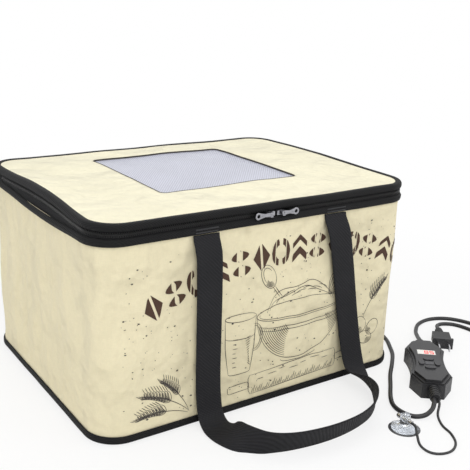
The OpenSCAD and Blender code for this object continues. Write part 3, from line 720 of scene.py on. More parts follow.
class PROOFER_OT_walls(bpy.types.Operator):
    """Sew the canvas walls with gathers and folds, and the foil lining"""
    bl_idname = "proofer.walls"
    bl_label = "Walls and lining"

    def execute(self, context):
        canvas = canvas_finish("wall canvas", colours().canvas)
        rows = []
        count = 84
        low, high = 2 * MM, WALL_TOP
        for i in range(count + 1):
            z = low + (high - low) * i / count
            half_x, half_y = wall_half(z)
            row = []
            for step in WALK:
                place, out = on_outline(step, half_x, half_y, CORNER)
                row.append(place + out * wall_relief(place, z) + Vector((0, 0, z)))
            rows.append(row)
        walls = grid_mesh("canvas_walls", rows, close_columns=True)
        finish_piece(walls, "base", canvas, ["outer_cloth", "foam_front", "foam_back", "foam_left",
                                             "foam_right", "foam_corners"])
        fold_with_rim(walls)
        foil = foil_finish("foil lining", srgb(205, 207, 210))
        rows = []
        floor = 5.6 * MM
        for i in range(14):
            t = (i / 13) ** 0.8
            half_x, half_y = wall_half(floor)
            row = []
            for step in WALK[::3]:
                place, out = on_outline(step, half_x - 9 * MM, half_y - 9 * MM, CORNER - 9 * MM)
                bulge = 0.4 * MM * noise.noise(Vector((place.x * t * 30, place.y * t * 30, 1.0)))
                row.append(Vector((place.x * t, place.y * t, floor + bulge)))
            rows.append(row)
        for i in range(1, 41):
            z = floor + (WALL_TOP - 1 * MM - floor) * i / 40
            half_x, half_y = wall_half(z)
            row = []
            for step in WALK[::3]:
                place, out = on_outline(step, half_x - 9 * MM, half_y - 9 * MM, CORNER - 9 * MM)
                crease = noise.noise(Vector((place.x * 25, place.y * 25, z * 22)))
                pillow = 0.8 * MM * math.sin(math.pi * ((z * 24) % 1))
                row.append(place - out * (0.9 * MM * crease + pillow) * fade(WALL_TOP - z, 0, 20 * MM)
                           + Vector((0, 0, z)))
            rows.append(row)
        lining = grid_mesh("lining_foil", rows, close_columns=True)
        lining.data.flip_normals()
        finish_piece(lining, "base", foil, ["foil_lining"])
        fold_with_rim(lining)
        return {"FINISHED"}


class PROOFER_OT_bindings(bpy.types.Operator):
    """Bind the base and the rim with black tape"""
    bl_idname = "proofer.bindings"
    bl_label = "Base binding and rim band"

    def execute(self, context):
        tape = webbing_finish("binding tape", colours().webbing, 210.0)
        low = [(0.3, 9.2), (1.3, 9.0), (2.0, 7.6), (2.1, 4.5), (2.0, 1.6), (1.2, 0.35), (-2, 0.25), (-6, 0.3),
               (-6, 1.2), (-1, 1.4), (0.1, 3)]
        base = ring("base_binding", low, BASE_X, BASE_Y, wobble=0.35 * MM, seed=1.0)
        finish_piece(base, "base", tape, ["bottom_binding"])
        bottom, top = BAND_LOW / MM, BAND_HIGH / MM
        band = [(0.4, bottom), (1.7, bottom - 0.1), (2.4, bottom + 1.6), (2.6, bottom + 6), (2.4, top - 4),
                (2.0, top - 1.2), (0.8, top + 0.1), (-1.5, top), (-7.6, top - 0.3), (-8.4, top - 1.6),
                (-8.4, bottom + 5.2), (-7, bottom + 4.2), (0.2, bottom + 4.2)]
        rim = ring("rim_tape", band, MOUTH_X, MOUTH_Y, rise=rim_rise, wobble=0.35 * MM, seed=2.0)
        finish_piece(rim, "rim", tape, ["rim_band", "rim_core"])
        return {"FINISHED"}


def zip_row(name, height, upper):
    """Row of small moulded teeth that follows the zipper line."""
    points, faces = [], []
    path = [on_outline(step, MOUTH_X, MOUTH_Y, CORNER) for step in zip_steps()]
    spacing = sizes().tooth_spacing
    travelled, due = 0.0, spacing * (0.5 if upper else 0.0)
    for (start, out), (end, _) in zip(path, path[1:]):
        gap = (end - start).length
        while due <= travelled + gap:
            t = (due - travelled) / gap
            centre = start.lerp(end, t)
            lift = (lid_rise(centre) + rim_rise(centre)) / 2
            tuck = 5 * MM * side_lift(centre)
            along = (end - start).normalized()
            middle = centre + out * (-0.4 * MM - tuck) + Vector((0, 0, height + lift))
            base = len(points)
            for i, j, k in ((-1, -1, -1), (1, -1, -1), (1, 1, -1), (-1, 1, -1),
                            (-1, -1, 1), (1, -1, 1), (1, 1, 1), (-1, 1, 1)):
                slim = 0.7 if (k > 0) != upper else 1.0
                points.append(tuple(middle + along * (i * 0.42 * slim * MM) + out * (j * 1.1 * MM)
                                    + Vector((0, 0, k * 1.5 * MM))))
            faces += [(base, base + 3, base + 2, base + 1), (base + 4, base + 5, base + 6, base + 7),
                      (base, base + 1, base + 5, base + 4), (base + 1, base + 2, base + 6, base + 5),
                      (base + 2, base + 3, base + 7, base + 6), (base + 3, base, base + 4, base + 7)]
            due += spacing
        travelled += gap
    return mesh_piece(name, points, faces, smooth=False)


def zip_tape(name, upper):
    """Tape between the teeth and the band or the lid, tucked in where they bulge apart."""
    rows = []
    for step in zip_steps():
        place, out = on_outline(step, MOUTH_X, MOUTH_Y, CORNER)
        lift = (lid_rise(place) + rim_rise(place)) / 2
        tuck = 5 * MM * side_lift(place)
        own = lid_rise(place) if upper else rim_rise(place)
        fixed = LID_LOW + 0.8 * MM if upper else BAND_HIGH - 1 * MM
        free = TEETH_MID + (0.9 if upper else -0.9) * MM
        row = []
        half_way = (fixed + free + own + lift) / 2
        for offset, z in ((-0.6 * MM, fixed + own), (-0.7 * MM - tuck * 0.7, half_way),
                          (-0.6 * MM - tuck, free + lift), (-1.5 * MM - tuck, free + lift),
                          (-1.6 * MM - tuck * 0.7, half_way), (-1.5 * MM, fixed + own)):
            row.append(place + out * offset + Vector((0, 0, z)))
        rows.append(row)
    return grid_mesh(name, rows, close_columns=True)


def pull_tab(name, sign):
    """Flat metal pull with an eye at each end, drawn flat and bevelled."""
    curve = bpy.data.curves.new(name, "CURVE")
    curve.dimensions = "2D"
    curve.fill_mode = "BOTH"
    curve.extrude = 0.45 * MM
    curve.bevel_depth = 0.18 * MM
    curve.bevel_resolution = 1
    low, high = low_of(name), top_of(name)
    length = high.x - low.x
    half = 2.3 * MM
    big = 3.6 * MM
    outline = []
    for i in range(13):
        angle = math.radians(-130 + i * 260 / 12)
        outline.append((length - big + big * math.cos(angle), big * math.sin(angle)))
    outline += [(length * 0.45, 1.5 * MM)]
    for i in range(9):
        angle = math.radians(110 + i * 140 / 8)
        outline.append((half * 1.05 + half * math.cos(angle), half * math.sin(angle)))
    outline += [(length * 0.45, -1.5 * MM)]
    loops = [outline]
    for centre, radius in ((length - big, 2.1 * MM), (half * 1.05, 1.1 * MM), (length * 0.62, 0.6 * MM)):
        loops.append([(centre + radius * math.cos(k * math.pi / 7), -radius * math.sin(k * math.pi / 7))
                      for k in range(14)])
    for loop in loops:
        spline = curve.splines.new("POLY")
        spline.points.add(len(loop) - 1)
        spline.use_cyclic_u = True
        for point, (x, y) in zip(spline.points, loop):
            point.co = (x, y, 0, 1)
    holder = placed(name + "_curve", curve)
    bpy.context.view_layer.update()
    mesh = bpy.data.meshes.new_from_object(holder.evaluated_get(bpy.context.evaluated_depsgraph_get()))
    bpy.data.objects.remove(holder)
    near = high.x if sign < 0 else low.x
    place = Matrix.Translation((near, (low.y + high.y) / 2, (low.z + high.z) / 2)) \
        @ Matrix.Scale(sign, 4, (1, 0, 0)) @ Matrix.Rotation(math.pi / 2, 4, "X")
    mesh.transform(place)
    if sign < 0:
        mesh.flip_normals()
    return placed(name + "_tab", mesh)


class PROOFER_OT_zipper(bpy.types.Operator):
    """Make the zipper: tapes, teeth, sliders and pulls"""
    bl_idname = "proofer.zipper"
    bl_label = "Zipper"

    def execute(self, context):
        tape = webbing_finish("zipper tape", srgb(22, 22, 24), 260.0)
        teeth = moulded_finish("zipper teeth", srgb(40, 40, 43), 0.3, 0.02)
        metal = metal_finish("plated metal", srgb(165, 165, 170), 0.3)
        finish_piece(zip_tape("lower_zip_tape", False), "rim", tape, ["rim_zip_tape"])
        finish_piece(zip_tape("upper_zip_tape", True), "lid", tape, ["lid_zip_tape"])
        finish_piece(zip_row("lower_teeth", TEETH_MID - 0.7 * MM, False), "rim", teeth, ["rim_teeth"])
        finish_piece(zip_row("upper_teeth", TEETH_MID + 0.7 * MM, True), "lid", teeth, ["lid_teeth"])
        for name, sign in (("pull_left", -1), ("pull_right", 1)):
            finish_piece(pull_tab(name, sign), name, metal, [name])
        for name in ("slider_left", "slider_right"):
            dress(name, metal)
        hinge = []
        columns = 60
        for i in range(columns + 1):
            x = (2 * i / columns - 1) * (MOUTH_X - CORNER - 4 * MM)
            row = []
            for t in range(7):
                z = BAND_HIGH - 3 * MM + (LID_LOW + 2.5 * MM - BAND_HIGH + 3 * MM) * t / 6
                row.append(Vector((x, MOUTH_Y + 1.9 * MM + 0.5 * MM * math.sin(math.pi * t / 6), z)))
            hinge.append(row)
        strip = grid_mesh("hinge_cloth", hinge)
        thick = strip.modifiers.new("thickness", "SOLIDIFY")
        thick.thickness = 0.8 * MM
        finish_piece(strip, None, tape, ["rim_hinge_tape", "lid_hinge_tape"])
        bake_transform(strip)
        return {"FINISHED"}


def lid_surface(x, y):
    """Height of the lid cloth: a soft dome with a few waves."""
    place = Vector((x, y, 0))
    dome = (1 - min(1, (x / MOUTH_X) ** 2)) * (1 - min(1, (y / MOUTH_Y) ** 2))
    wave = noise.noise(Vector((x * 11, y * 11, 5.0))) + 0.4 * noise.noise(Vector((x * 30, y * 26, 6.0)))
    inside = min(1, dome * 5)
    return LID_HIGH - 0.9 * MM + sizes().lid_dome * dome + 1.1 * MM * wave * inside + lid_rise(place)


def between_loops(outer, inner, rows, height, drop=0.0):
    """Rows of points from one loop to another, at the height that a function gives."""
    grid = []
    for i in range(rows + 1):
        t = i / rows
        row = []
        for a, b in zip(outer, inner):
            point = a.lerp(b, t)
            row.append(Vector((point.x, point.y, height(point.x, point.y) - drop)))
        grid.append(row)
    return grid


def window_loop(half, radius):
    """Loop round the window, matched step by step to the mouth outline."""
    return [on_outline(step, half, half, radius)[0] + Vector((0, WINDOW_Y, 0)) for step in WALK]


class PROOFER_OT_lid(bpy.types.Operator):
    """Make the lid: top cloth with its window, hem, binding and inside"""
    bl_idname = "proofer.lid"
    bl_label = "Lid"

    def execute(self, context):
        cloth = canvas_finish("lid canvas", colours().lid)
        tape = bpy.data.materials["binding tape"]
        outer = [on_outline(step, MOUTH_X - 1 * MM, MOUTH_Y - 1 * MM, CORNER)[0] for step in WALK]
        inner = window_loop(WINDOW_HALF, 8 * MM)
        top = grid_mesh("lid_top", between_loops(outer, inner, 34, lid_surface), close_columns=True)
        thick = top.modifiers.new("thickness", "SOLIDIFY")
        thick.thickness = 1.2 * MM
        thick.offset = -1
        finish_piece(top, "lid", cloth, ["lid_cloth", "lid_core"])
        tiny = window_loop(0.02 * MM, 0.01 * MM)
        pane = grid_mesh("window_film", between_loops(window_loop(WINDOW_HALF + 5 * MM, 12 * MM), tiny, 30,
                                                      lid_surface, 1.5 * MM), close_columns=True)
        finish_piece(pane, "lid", film_finish("window film", colours().film), ["window_pane"])
        hem_cloth = webbing_finish("window hem", srgb(70, 66, 62), 300.0)
        rows = []
        for loop, down in ((window_loop(WINDOW_HALF + 0.3 * MM, 8 * MM), 0.3),
                           (window_loop(WINDOW_HALF + 0.1 * MM, 8 * MM), -0.35),
                           (window_loop(WINDOW_HALF - 0.9 * MM, 7 * MM), -0.2),
                           (window_loop(WINDOW_HALF - 1.1 * MM, 7 * MM), 1.2)):
            rows.append([Vector((p.x, p.y, lid_surface(p.x, p.y) - down * MM)) for p in loop])
        hem = grid_mesh("window_edge", rows, close_columns=True)
        finish_piece(hem, "lid", hem_cloth, ["window_hem"])
        low, high = LID_LOW / MM, LID_HIGH / MM
        profile = [(-6.5, high - 0.9), (-5.5, high - 0.1), (-2, high + 0.5), (0.6, high + 0.1),
                   (1.8, high - 1.6), (2.1, high - 4), (1.8, low + 1.6), (0.8, low + 0.1),
                   (-2, low - 0.1), (-6, low + 0.3),
                   (-6.3, low + 1.2), (-1, low + 1.5), (-0.5, high - 1.8)]
        binding = ring("lid_tape", profile, MOUTH_X, MOUTH_Y, rise=lid_rise, wobble=0.4 * MM, seed=3.0)
        finish_piece(binding, "lid", tape, ["lid_binding"])
        foil = bpy.data.materials["foil lining"]
        under = [Vector((p.x * 0.995, p.y * 0.995, 0)) for p in outer]

        def below(x, y):
            crease = noise.noise(Vector((x * 24, y * 24, 2.5)))
            return LID_LOW + 1.0 * MM + 0.5 * MM * crease + lid_rise(Vector((x, y, 0))) * 0.9
        inside = grid_mesh("lid_foil", between_loops(under, inner, 26, below), close_columns=True)
        inside.data.flip_normals()
        finish_piece(inside, "lid", foil, ["lid_lining"])
        return {"FINISHED"}


# Handles: stations repeated from part.scad, across the front, in millimetres

HANG_Y = -(MOUTH_Y / MM + 0.3 + 2.2 / 2)
STRAP_RUN = [
    (-83, 0, 197.4, 1, 0, 0), (-83, -0.1, 195.6, 1, 0, 0), (-82.9, -1, 191.5, 1, 0, 0),
    (-82.3, -3, 185, 1, 0, 0), (-81, -4.2, 172, 1, 0, 0), (-79, -2.5, 135, 1, 0, 0),
    (-78, -1.5, 90, 1, 0, 0), (-78, -2, 50, 1, 0, 0),
    (-78, -4.5, 26, 1, 0, 0), (-78.5, -10, 11, 1, 0, 0.02), (-80, -22, 4.6, 1, 0, 0.1),
    (-81, -37, 6, 0.92, 0, 0.3), (-80, -53, 10.6, 0.65, -0.1, 0.65), (-75, -71, 14, 0.3, -0.3, 0.9),
    (-62, -88, 14.6, 0.12, -0.4, 0.9), (-40, -99, 14.6, 0.04, -0.44, 0.9), (-10, -105, 14.6, 0, -0.45, 0.89),
    (20, -106, 14.6, 0, -0.45, 0.89), (48, -102, 14.6, -0.02, -0.44, 0.9),
    (74, -92, 14.6, -0.06, -0.36, 0.93),
    (94, -76, 14.8, -0.1, -0.2, 0.96), (105, -58, 14.6, -0.35, -0.1, 0.92), (110, -42, 14, -0.7, 0, 0.7),
    (114, -27, 15, -0.92, 0, 0.35), (117, -14, 22, -1, 0, 0.1), (116, -7, 40, -1, 0, 0),
    (112, -4, 66, -1, 0, 0), (106, -2.5, 100, -1, 0, 0), (97, -3.5, 140, -1, 0, 0),
    (89, -4.5, 172, -1, 0, 0), (85, -3.2, 184.5, -1, 0, 0), (83.4, -1, 191.5, -1, 0, 0),
    (83, -0.1, 195.6, -1, 0, 0), (83, 0, 197.4, -1, 0, 0)]
STRAP_SCALE = (BAND_LOW / MM - 0.4) / 197.8
WEBBING_PROFILE = ((1, 0.0), (0.985, 0.75), (0.9, 1), (0.5, 1), (0, 1), (-0.5, 1), (-0.9, 1), (-0.985, 0.75),
                   (-1, 0.0), (-0.985, -0.75), (-0.9, -1), (-0.5, -1), (0, -1), (0.5, -1), (0.9, -1),
                   (0.985, -0.75))


def webbing_loop(name, turned):
    """Handle webbing with rounded edges."""
    places = [spot(x, HANG_Y + y, z * STRAP_SCALE if z > 30 else z) for x, y, z, *_ in STRAP_RUN]
    middle = smooth_run(places, 8)
    across = smooth_run([Vector(station[3:]) for station in STRAP_RUN], 8)
    half, thick = sizes().strap_width / 2, sizes().strap_thickness / 2
    rows = []
    for i, point in enumerate(middle):
        along = (middle[min(i + 1, len(middle) - 1)] - middle[max(i - 1, 0)]).normalized()
        wide = (across[i] - along * across[i].dot(along)).normalized()
        out = along.cross(wide)
        row = []
        for side, up in WEBBING_PROFILE:
            row.append(point + wide * half * side + out * thick * up)
        rows.append(row)
    piece = grid_mesh(name, rows, close_columns=True)
    if turned:
        piece.data.transform(Matrix.Rotation(math.pi, 4, "Z"))
    return piece


class PROOFER_OT_handles(bpy.types.Operator):
    """Hang the front and back webbing handles and stitch them"""
    bl_idname = "proofer.handles"
    bl_label = "Handles"

    def execute(self, context):
        webbing = webbing_finish("handle webbing", srgb(30, 30, 33), 165.0)
        for name, turned in (("front_handle", False), ("back_handle", True)):
            strap = webbing_loop(name + "_webbing", turned)
            finish_piece(strap, name, webbing, [name])
            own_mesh(strap)
        thread = webbing_finish("stitching", srgb(60, 60, 62), 400.0)
        for name in ("strap_tacks_front", "strap_tacks_back"):
            dress(name, thread)
        return {"FINISHED"}


# The print: generic ornaments and kitchen tools drawn on the wall cloth

def on_wall(along, z, stand=0.25 * MM):
    """Point on the front cloth, by the distance along it from the middle and the height."""
    half_x, half_y = wall_half(z)
    straight = half_x - CORNER
    if abs(along) <= straight:
        place, out = Vector((along, -half_y, 0)), Vector((0, -1, 0))
    else:
        side = 1 if along > 0 else -1
        angle = min(math.pi / 2, (abs(along) - straight) / CORNER)
        out = Vector((side * math.sin(angle), -math.cos(angle), 0))
        place = Vector((side * straight, -(half_y - CORNER), 0)) + out * CORNER
    return place + out * (wall_relief(place, z) + stand) + Vector((0, 0, z))


def even_steps(points, step):
    """The same line with a point at least every step."""
    line = [points[0]]
    for a, b in zip(points, points[1:]):
        parts = max(1, math.ceil((b - a).length / step))
        line += [a.lerp(b, k / parts) for k in range(1, parts + 1)]
    return line


def inked_line(points, faces, line, width):
    """Add one line of the drawing as a narrow strip on the cloth."""
    line = even_steps(line, 3 * MM)
    base = len(points)
    for i, here in enumerate(line):
        along = (line[min(i + 1, len(line) - 1)] - line[max(i - 1, 0)]).normalized()
        taper = 0.45 + 0.55 * math.sin(math.pi * min(1, max(0.0, i / max(1, len(line) - 1))))
        side = Vector((-along.y, along.x)) * width / 2 * taper
        for point in (here + side, here - side):
            points.append(tuple(on_wall(point.x, point.y)))
    for i in range(len(line) - 1):
        a = base + 2 * i
        faces.append((a, a + 1, a + 3, a + 2))


def arc_line(centre, wide, high, start, end, tilt=0.0, count=24):
    """Part of an ellipse as a line."""
    line = []
    for i in range(count + 1):
        angle = math.radians(start + (end - start) * i / count)
        x, y = wide * math.cos(angle), high * math.sin(angle)
        line.append((centre[0] + x * math.cos(tilt) - y * math.sin(tilt),
                     centre[1] + x * math.sin(tilt) + y * math.cos(tilt)))
    return line


def wheat_ear(lines, foot, lean, length, grains):
    """Add a wheat ear on a bending stalk to the drawing."""
    stalk = []
    for k in range(11):
        t = k / 10
        angle = lean + 0.35 * t * (1 if lean > 0 else -1)
        stalk.append(Vector((foot[0] + math.sin(angle) * length * t, foot[1] + math.cos(angle) * length * t)))
    lines.append([tuple(p) for p in stalk])
    for k in range(grains):
        t = 0.45 + 0.53 * k / grains
        here = stalk[int(t * 10)].lerp(stalk[min(10, int(t * 10) + 1)], t * 10 - int(t * 10))
        for side in (-1, 1):
            angle = math.pi / 2 - lean - side * 0.55
            size = length * 0.075 * (1.15 - 0.5 * k / grains)
            centre = (here.x + math.cos(angle) * size, here.y + math.sin(angle) * size)
            lines.append(arc_line(centre, size, size * 0.42, 0, 360, tilt=angle, count=12))
            lines.append(arc_line(centre, size * 0.7, size * 0.12, 10, 170, tilt=angle, count=4))
            tip = Vector(centre) + Vector((math.cos(angle), math.sin(angle))) * size
            lines.append([tuple(tip), tuple(tip + Vector((math.cos(angle + side * 0.3),
                                                          math.sin(angle + side * 0.3))) * size * 1.7)])


def drawn_roller(lines, left, right):
    """Add a rolling pin between two points to the drawing."""
    lean = (right - left).normalized()
    side = Vector((-lean.y, lean.x))
    for start, end, wide in ((0.17, 0.83, 11.5), (0.02, 0.15, 4.2), (0.85, 0.98, 4.2)):
        a, b = left.lerp(right, start), left.lerp(right, end)
        for s in (-1, 1):
            lines.append([tuple(a + side * s * wide), tuple(b + side * s * wide)])
        for here, sign in ((a, -1), (b, 1)):
            bulge = lean * sign * 2
            lines.append([tuple(here - side * wide), tuple(here - side * wide * 0.6 + bulge),
                          tuple(here + side * wide * 0.6 + bulge), tuple(here + side * wide)])
    for k in range(46):
        a = left.lerp(right, 0.18 + k * 0.0139)
        reach = 5.5 + 2.6 * math.sin(k * 1.7) + 1.5 * math.sin(k * 0.6)
        lines.append([tuple(a - side * 11), tuple(a - side * (11 - reach) + lean * 2.4)])
    for k in range(7):
        a = left.lerp(right, 0.22 + 0.085 * k)
        start = a + side * (4 + 2 * (k % 3))
        lines.append([tuple(start), tuple(start + lean * (9 + 3 * (k % 2)))])


def drawn_whisk(lines, base, tip):
    """Add a balloon whisk to the drawing."""
    lean = (tip - base).normalized()
    side = Vector((-lean.y, lean.x))
    neck = base.lerp(tip, 0.52)
    for spread in (-11, -8, -4, 0, 4, 8, 11):
        line = []
        for k in range(13):
            t = k / 12
            swell = math.sin(math.pi * (1 - t) ** 0.75) if t < 1 else 0
            line.append(tuple(base.lerp(neck, t) + side * spread * (swell + 0.1)))
        lines.append(line)
    for spread in (-3, 3):
        lines.append([tuple(neck + side * spread * 0.7), tuple(tip + side * spread)])
    for k in range(12):
        here = neck.lerp(tip, k / 11)
        lines.append([tuple(here - side * 2.6), tuple(here + side * (0.4 + 0.2 * (k % 3)))])
    lines.append(arc_line(tip, 3, 3, -30, 150, count=8))


def drawn_bowl(lines, centre):
    """Add a mixing bowl of risen dough to the drawing."""
    x, z = centre
    lines.append(arc_line(centre, 60, 11, 0, 360, count=48))
    lines.append(arc_line(centre, 56.5, 8.6, 170, 370, count=30))
    lines.append(arc_line(centre, 59.5, 60, 180, 360, count=44))
    lines.append(arc_line((x, z - 58), 25, 5, 180, 360))
    for rise in (0.0, 1.6):
        lines.append([(p[0], p[1] + 2.2 * math.sin(p[0] * 0.13 + rise)) for p in
                      arc_line((x, z - 1), (47 - 2 * rise), (30 - 4 * rise), 8, 172, count=30)])
    for k in range(9):
        start = 120 - k * 11
        lines.append(arc_line((x - (18 - 5 * k), z + (8 + 2 * (k % 3))), 16, 11,
                              start, start + 46, count=8))
    for k in range(15):
        shrink = 3 + 2.4 * k
        lines.append(arc_line(centre, (60 - shrink), (60 - shrink * 0.8),
                              192 + 1.5 * k, 250 - 1.2 * k, count=10))
    for k in range(9):
        shrink = 2.5 + 2.2 * k
        lines.append(arc_line(centre, (60 - shrink), (60 - shrink),
                              318 + 2 * k, 351 - 1.5 * k, count=7))
    for k in range(2):
        lines.append(arc_line((x, z - (9 + 4 * k)), 58, 10.5, 196, 344, count=28))


def drawn_jug(lines, centre):
    """Add a measuring jug to the drawing."""
    x, z = centre
    lines.append(arc_line((x, z + 34), 19, 4.5, 0, 360, count=28))
    for s in (-1, 1):
        lines.append([(x + s * 19, z + 34), (x + s * 17.5, z),
                      (x + s * 13.5, z - 30)])
    lines.append(arc_line((x, z - 30), 13.5, 3.4, 180, 360, count=14))
    lines.append(arc_line((x, z + 12), 17.6, 3.6, 180, 360, count=16))
    for size in (10, 7.5):
        lines.append(arc_line((x + 18, z + 8), size, (size + 6), -95, 95, count=14))
    for k in range(7):
        lines.append([(x - 8, z + (9 - 5.5 * k)),
                      (x - (2 + 2 * (k % 2)), z + (8.7 - 5.5 * k))])
    for k in range(12):
        lines.append([(x + (6 + 0.7 * k), z + (8 - 2.9 * k)),
                      (x + (12.5 - 0.15 * k), z + (11 - 2.9 * k))])


def tool_drawing():
    """Lines of a bowl of dough, whisk, spoon, rolling pin, jug, eggs and wheat, in millimetres."""
    lines = []
    drawn_bowl(lines, (44, 104))
    drawn_whisk(lines, Vector((84, 112)), Vector((122, 160)))
    drawn_roller(lines, Vector((-52, 24)), Vector((128, 32)))
    drawn_jug(lines, (-36, 74))
    spoon = (-2, 148)
    lines.append(arc_line(spoon, 9, 15, 0, 360, tilt=0.5, count=28))
    lines.append(arc_line(spoon, 6, 11.5, 20, 200, tilt=0.5, count=16))
    for k in range(5):
        lines.append(arc_line(spoon, (7.6 - k), (13 - k * 1.4), 205, 290, tilt=0.5, count=8))
    for shift in (-1.6, 1.6):
        lines.append([(6 + shift, 135), (16 + shift, 122)])
    for x, z, tilt in ((138, 62, 0.3), (156, 56, -0.5), (146, 44, 1.3)):
        lines.append(arc_line((x, z), 8, 10.5, 0, 360, tilt=tilt, count=26))
        for k in range(4):
            lines.append(arc_line((x, z), (6.6 - 1.3 * k), (9 - 1.6 * k), 190 + 6 * k, 285,
                                  tilt=tilt, count=8))
    wheat_ear(lines, (-98, 16), -0.75, 62, 9)
    wheat_ear(lines, (-100, 15), -1.12, 60, 9)
    wheat_ear(lines, (-99, 18), -0.35, 50, 8)
    wheat_ear(lines, (141, 70), 0.28, 56, 8)
    return lines


def ornament_shapes():
    """Stencil-cut shapes in a unit box: split diamond, split ring, leaf pair and chevrons."""
    def half_ring(side):
        outer = [(side * (0.08 + 0.42 * math.sin(a)), 0.5 - 0.5 * math.cos(a) - 0.5)
                 for a in [math.pi * k / 12 for k in range(13)]]
        inner = [(side * (0.08 + 0.2 * math.sin(a)), -(0.26 * math.cos(a)))
                 for a in [math.pi * k / 12 for k in range(12, -1, -1)]]
        return outer + inner

    def half_diamond(side):
        return [(side * 0.06, -0.5), (side * 0.44, 0.0), (side * 0.06, 0.5)]

    def leaf(side, low):
        def edge(bow, steps):
            return [(side * (0.05 + bow * math.sin(math.pi * k / 8)), low + 0.42 * k / 8) for k in steps]
        return edge(0.4, range(9)) + edge(0.08, range(7, 0, -1))
    return [
        [half_diamond(-1), half_diamond(1)],
        [half_ring(-1), half_ring(1)],
        [leaf(-1, -0.48), leaf(1, -0.48), leaf(-1, 0.06), leaf(1, 0.06)],
        [[(-0.4, -0.5), (0.0, -0.2), (0.4, -0.5), (0.4, -0.22), (0.0, 0.08), (-0.4, -0.22)],
         [(-0.4, 0.02), (0.0, 0.32), (0.4, 0.02), (0.4, 0.22), (0.0, 0.52), (-0.4, 0.22)]],
    ]


def filled_shape(points, faces, outline):
    """Add one filled shape on the cloth as narrow upright slices."""
    corners = [Vector(p) for p in outline]
    low = min(p.x for p in corners)
    high = max(p.x for p in corners)
    slices = max(4, math.ceil((high - low) / (1.2 * MM)))
    spans = []
    for k in range(slices + 1):
        x = low + (high - low) * min(max(k / slices, 0.004), 0.996)
        hits = []
        for a, b in zip(corners, corners[1:] + corners[:1]):
            if (a.x <= x) != (b.x <= x):
                hits.append(a.y + (b.y - a.y) * (x - a.x) / (b.x - a.x))
        hits.sort()
        spans.append((x, [(hits[i], hits[i + 1]) for i in range(0, len(hits) - 1, 2)]))
    for (x0, first), (x1, second) in zip(spans, spans[1:]):
        if len(first) != len(second):
            continue
        for (a, b), (c, d) in zip(first, second):
            parts = max(1, math.ceil(max(b - a, d - c) / (3 * MM)))
            base = len(points)
            for k in range(parts + 1):
                points.append(tuple(on_wall(x0, a + (b - a) * k / parts)))
                points.append(tuple(on_wall(x1, c + (d - c) * k / parts)))
            for k in range(parts):
                i = base + 2 * k
                faces.append((i, i + 1, i + 3, i + 2))


def print_piece(name, points, faces, material):
    """One printed layer on the front cloth."""
    piece = mesh_piece(name, points, faces)
    finish_piece(piece, "base", material)
    fold_with_rim(piece)


class PROOFER_OT_print(bpy.types.Operator):
    """Print the front: an arc of stencil ornaments, a drawing of kitchen tools and flour specks"""
    bl_idname = "proofer.print"
    bl_label = "Front print"

    def execute(self, context):
        points, faces = [], []
        for line in tool_drawing():
            inked_line(points, faces, [Vector(point) * MM for point in line], sizes().line_width)
        ink = Finish("print ink", colours().ink, 0.8)
        shade = ink.mottle(120.0, 0.7, 1.3)[0]
        ink.tint(shade)
        print_piece("tool_print", points, faces, ink.material)
        points, faces = [], []
        shapes = ornament_shapes()
        order = (0, 2, 1, 3, 2, 0, 1, 3, 2, 0, 1, 2, 3, 1)
        first, last, middle = -140 * MM, 190 * MM, 32 * MM
        for i, kind in enumerate(order):
            x = first + (last - first) * i / (len(order) - 1)
            z = 174 * MM - 1.15 * (x - middle) ** 2
            slope = math.atan(-2 * 1.15 * (x - middle))
            for shape in shapes[kind]:
                outline = []
                for u, v in shape:
                    dx, dz = u * 24 * MM, v * 30 * MM
                    outline.append((x + dx * math.cos(slope) - dz * math.sin(slope),
                                    z + dx * math.sin(slope) + dz * math.cos(slope)))
                filled_shape(points, faces, outline)
        brown = Finish("print brown", colours().brown, 0.8)
        shade = brown.mottle(90.0, 0.75, 1.25)[0]
        brown.tint(shade)
        print_piece("ornament_print", points, faces, brown.material)
        points, faces = [], []
        chance = random.Random(11)
        for _ in range(620):
            along, z = chance.uniform(-175, 190) * MM, chance.uniform(14, 192) * MM
            cluster = noise.noise(Vector((along * 14, z * 14, 12.0)))
            if cluster < chance.uniform(-0.45, 0.5):
                continue
            size = chance.choice((0.35, 0.35, 0.5, 0.5, 0.7, 1.0)) * MM
            turn = chance.uniform(0, 6.28)
            base = len(points)
            for k in range(5):
                angle = turn + k * math.tau / 5
                reach = size * chance.uniform(0.6, 1.2)
                points.append(tuple(on_wall(along + 1.5 * reach * math.cos(angle),
                                            z + reach * math.sin(angle))))
            faces.append(tuple(range(base, base + 5)))
        print_piece("speck_print", points, faces, ink.material)
        return {"FINISHED"}


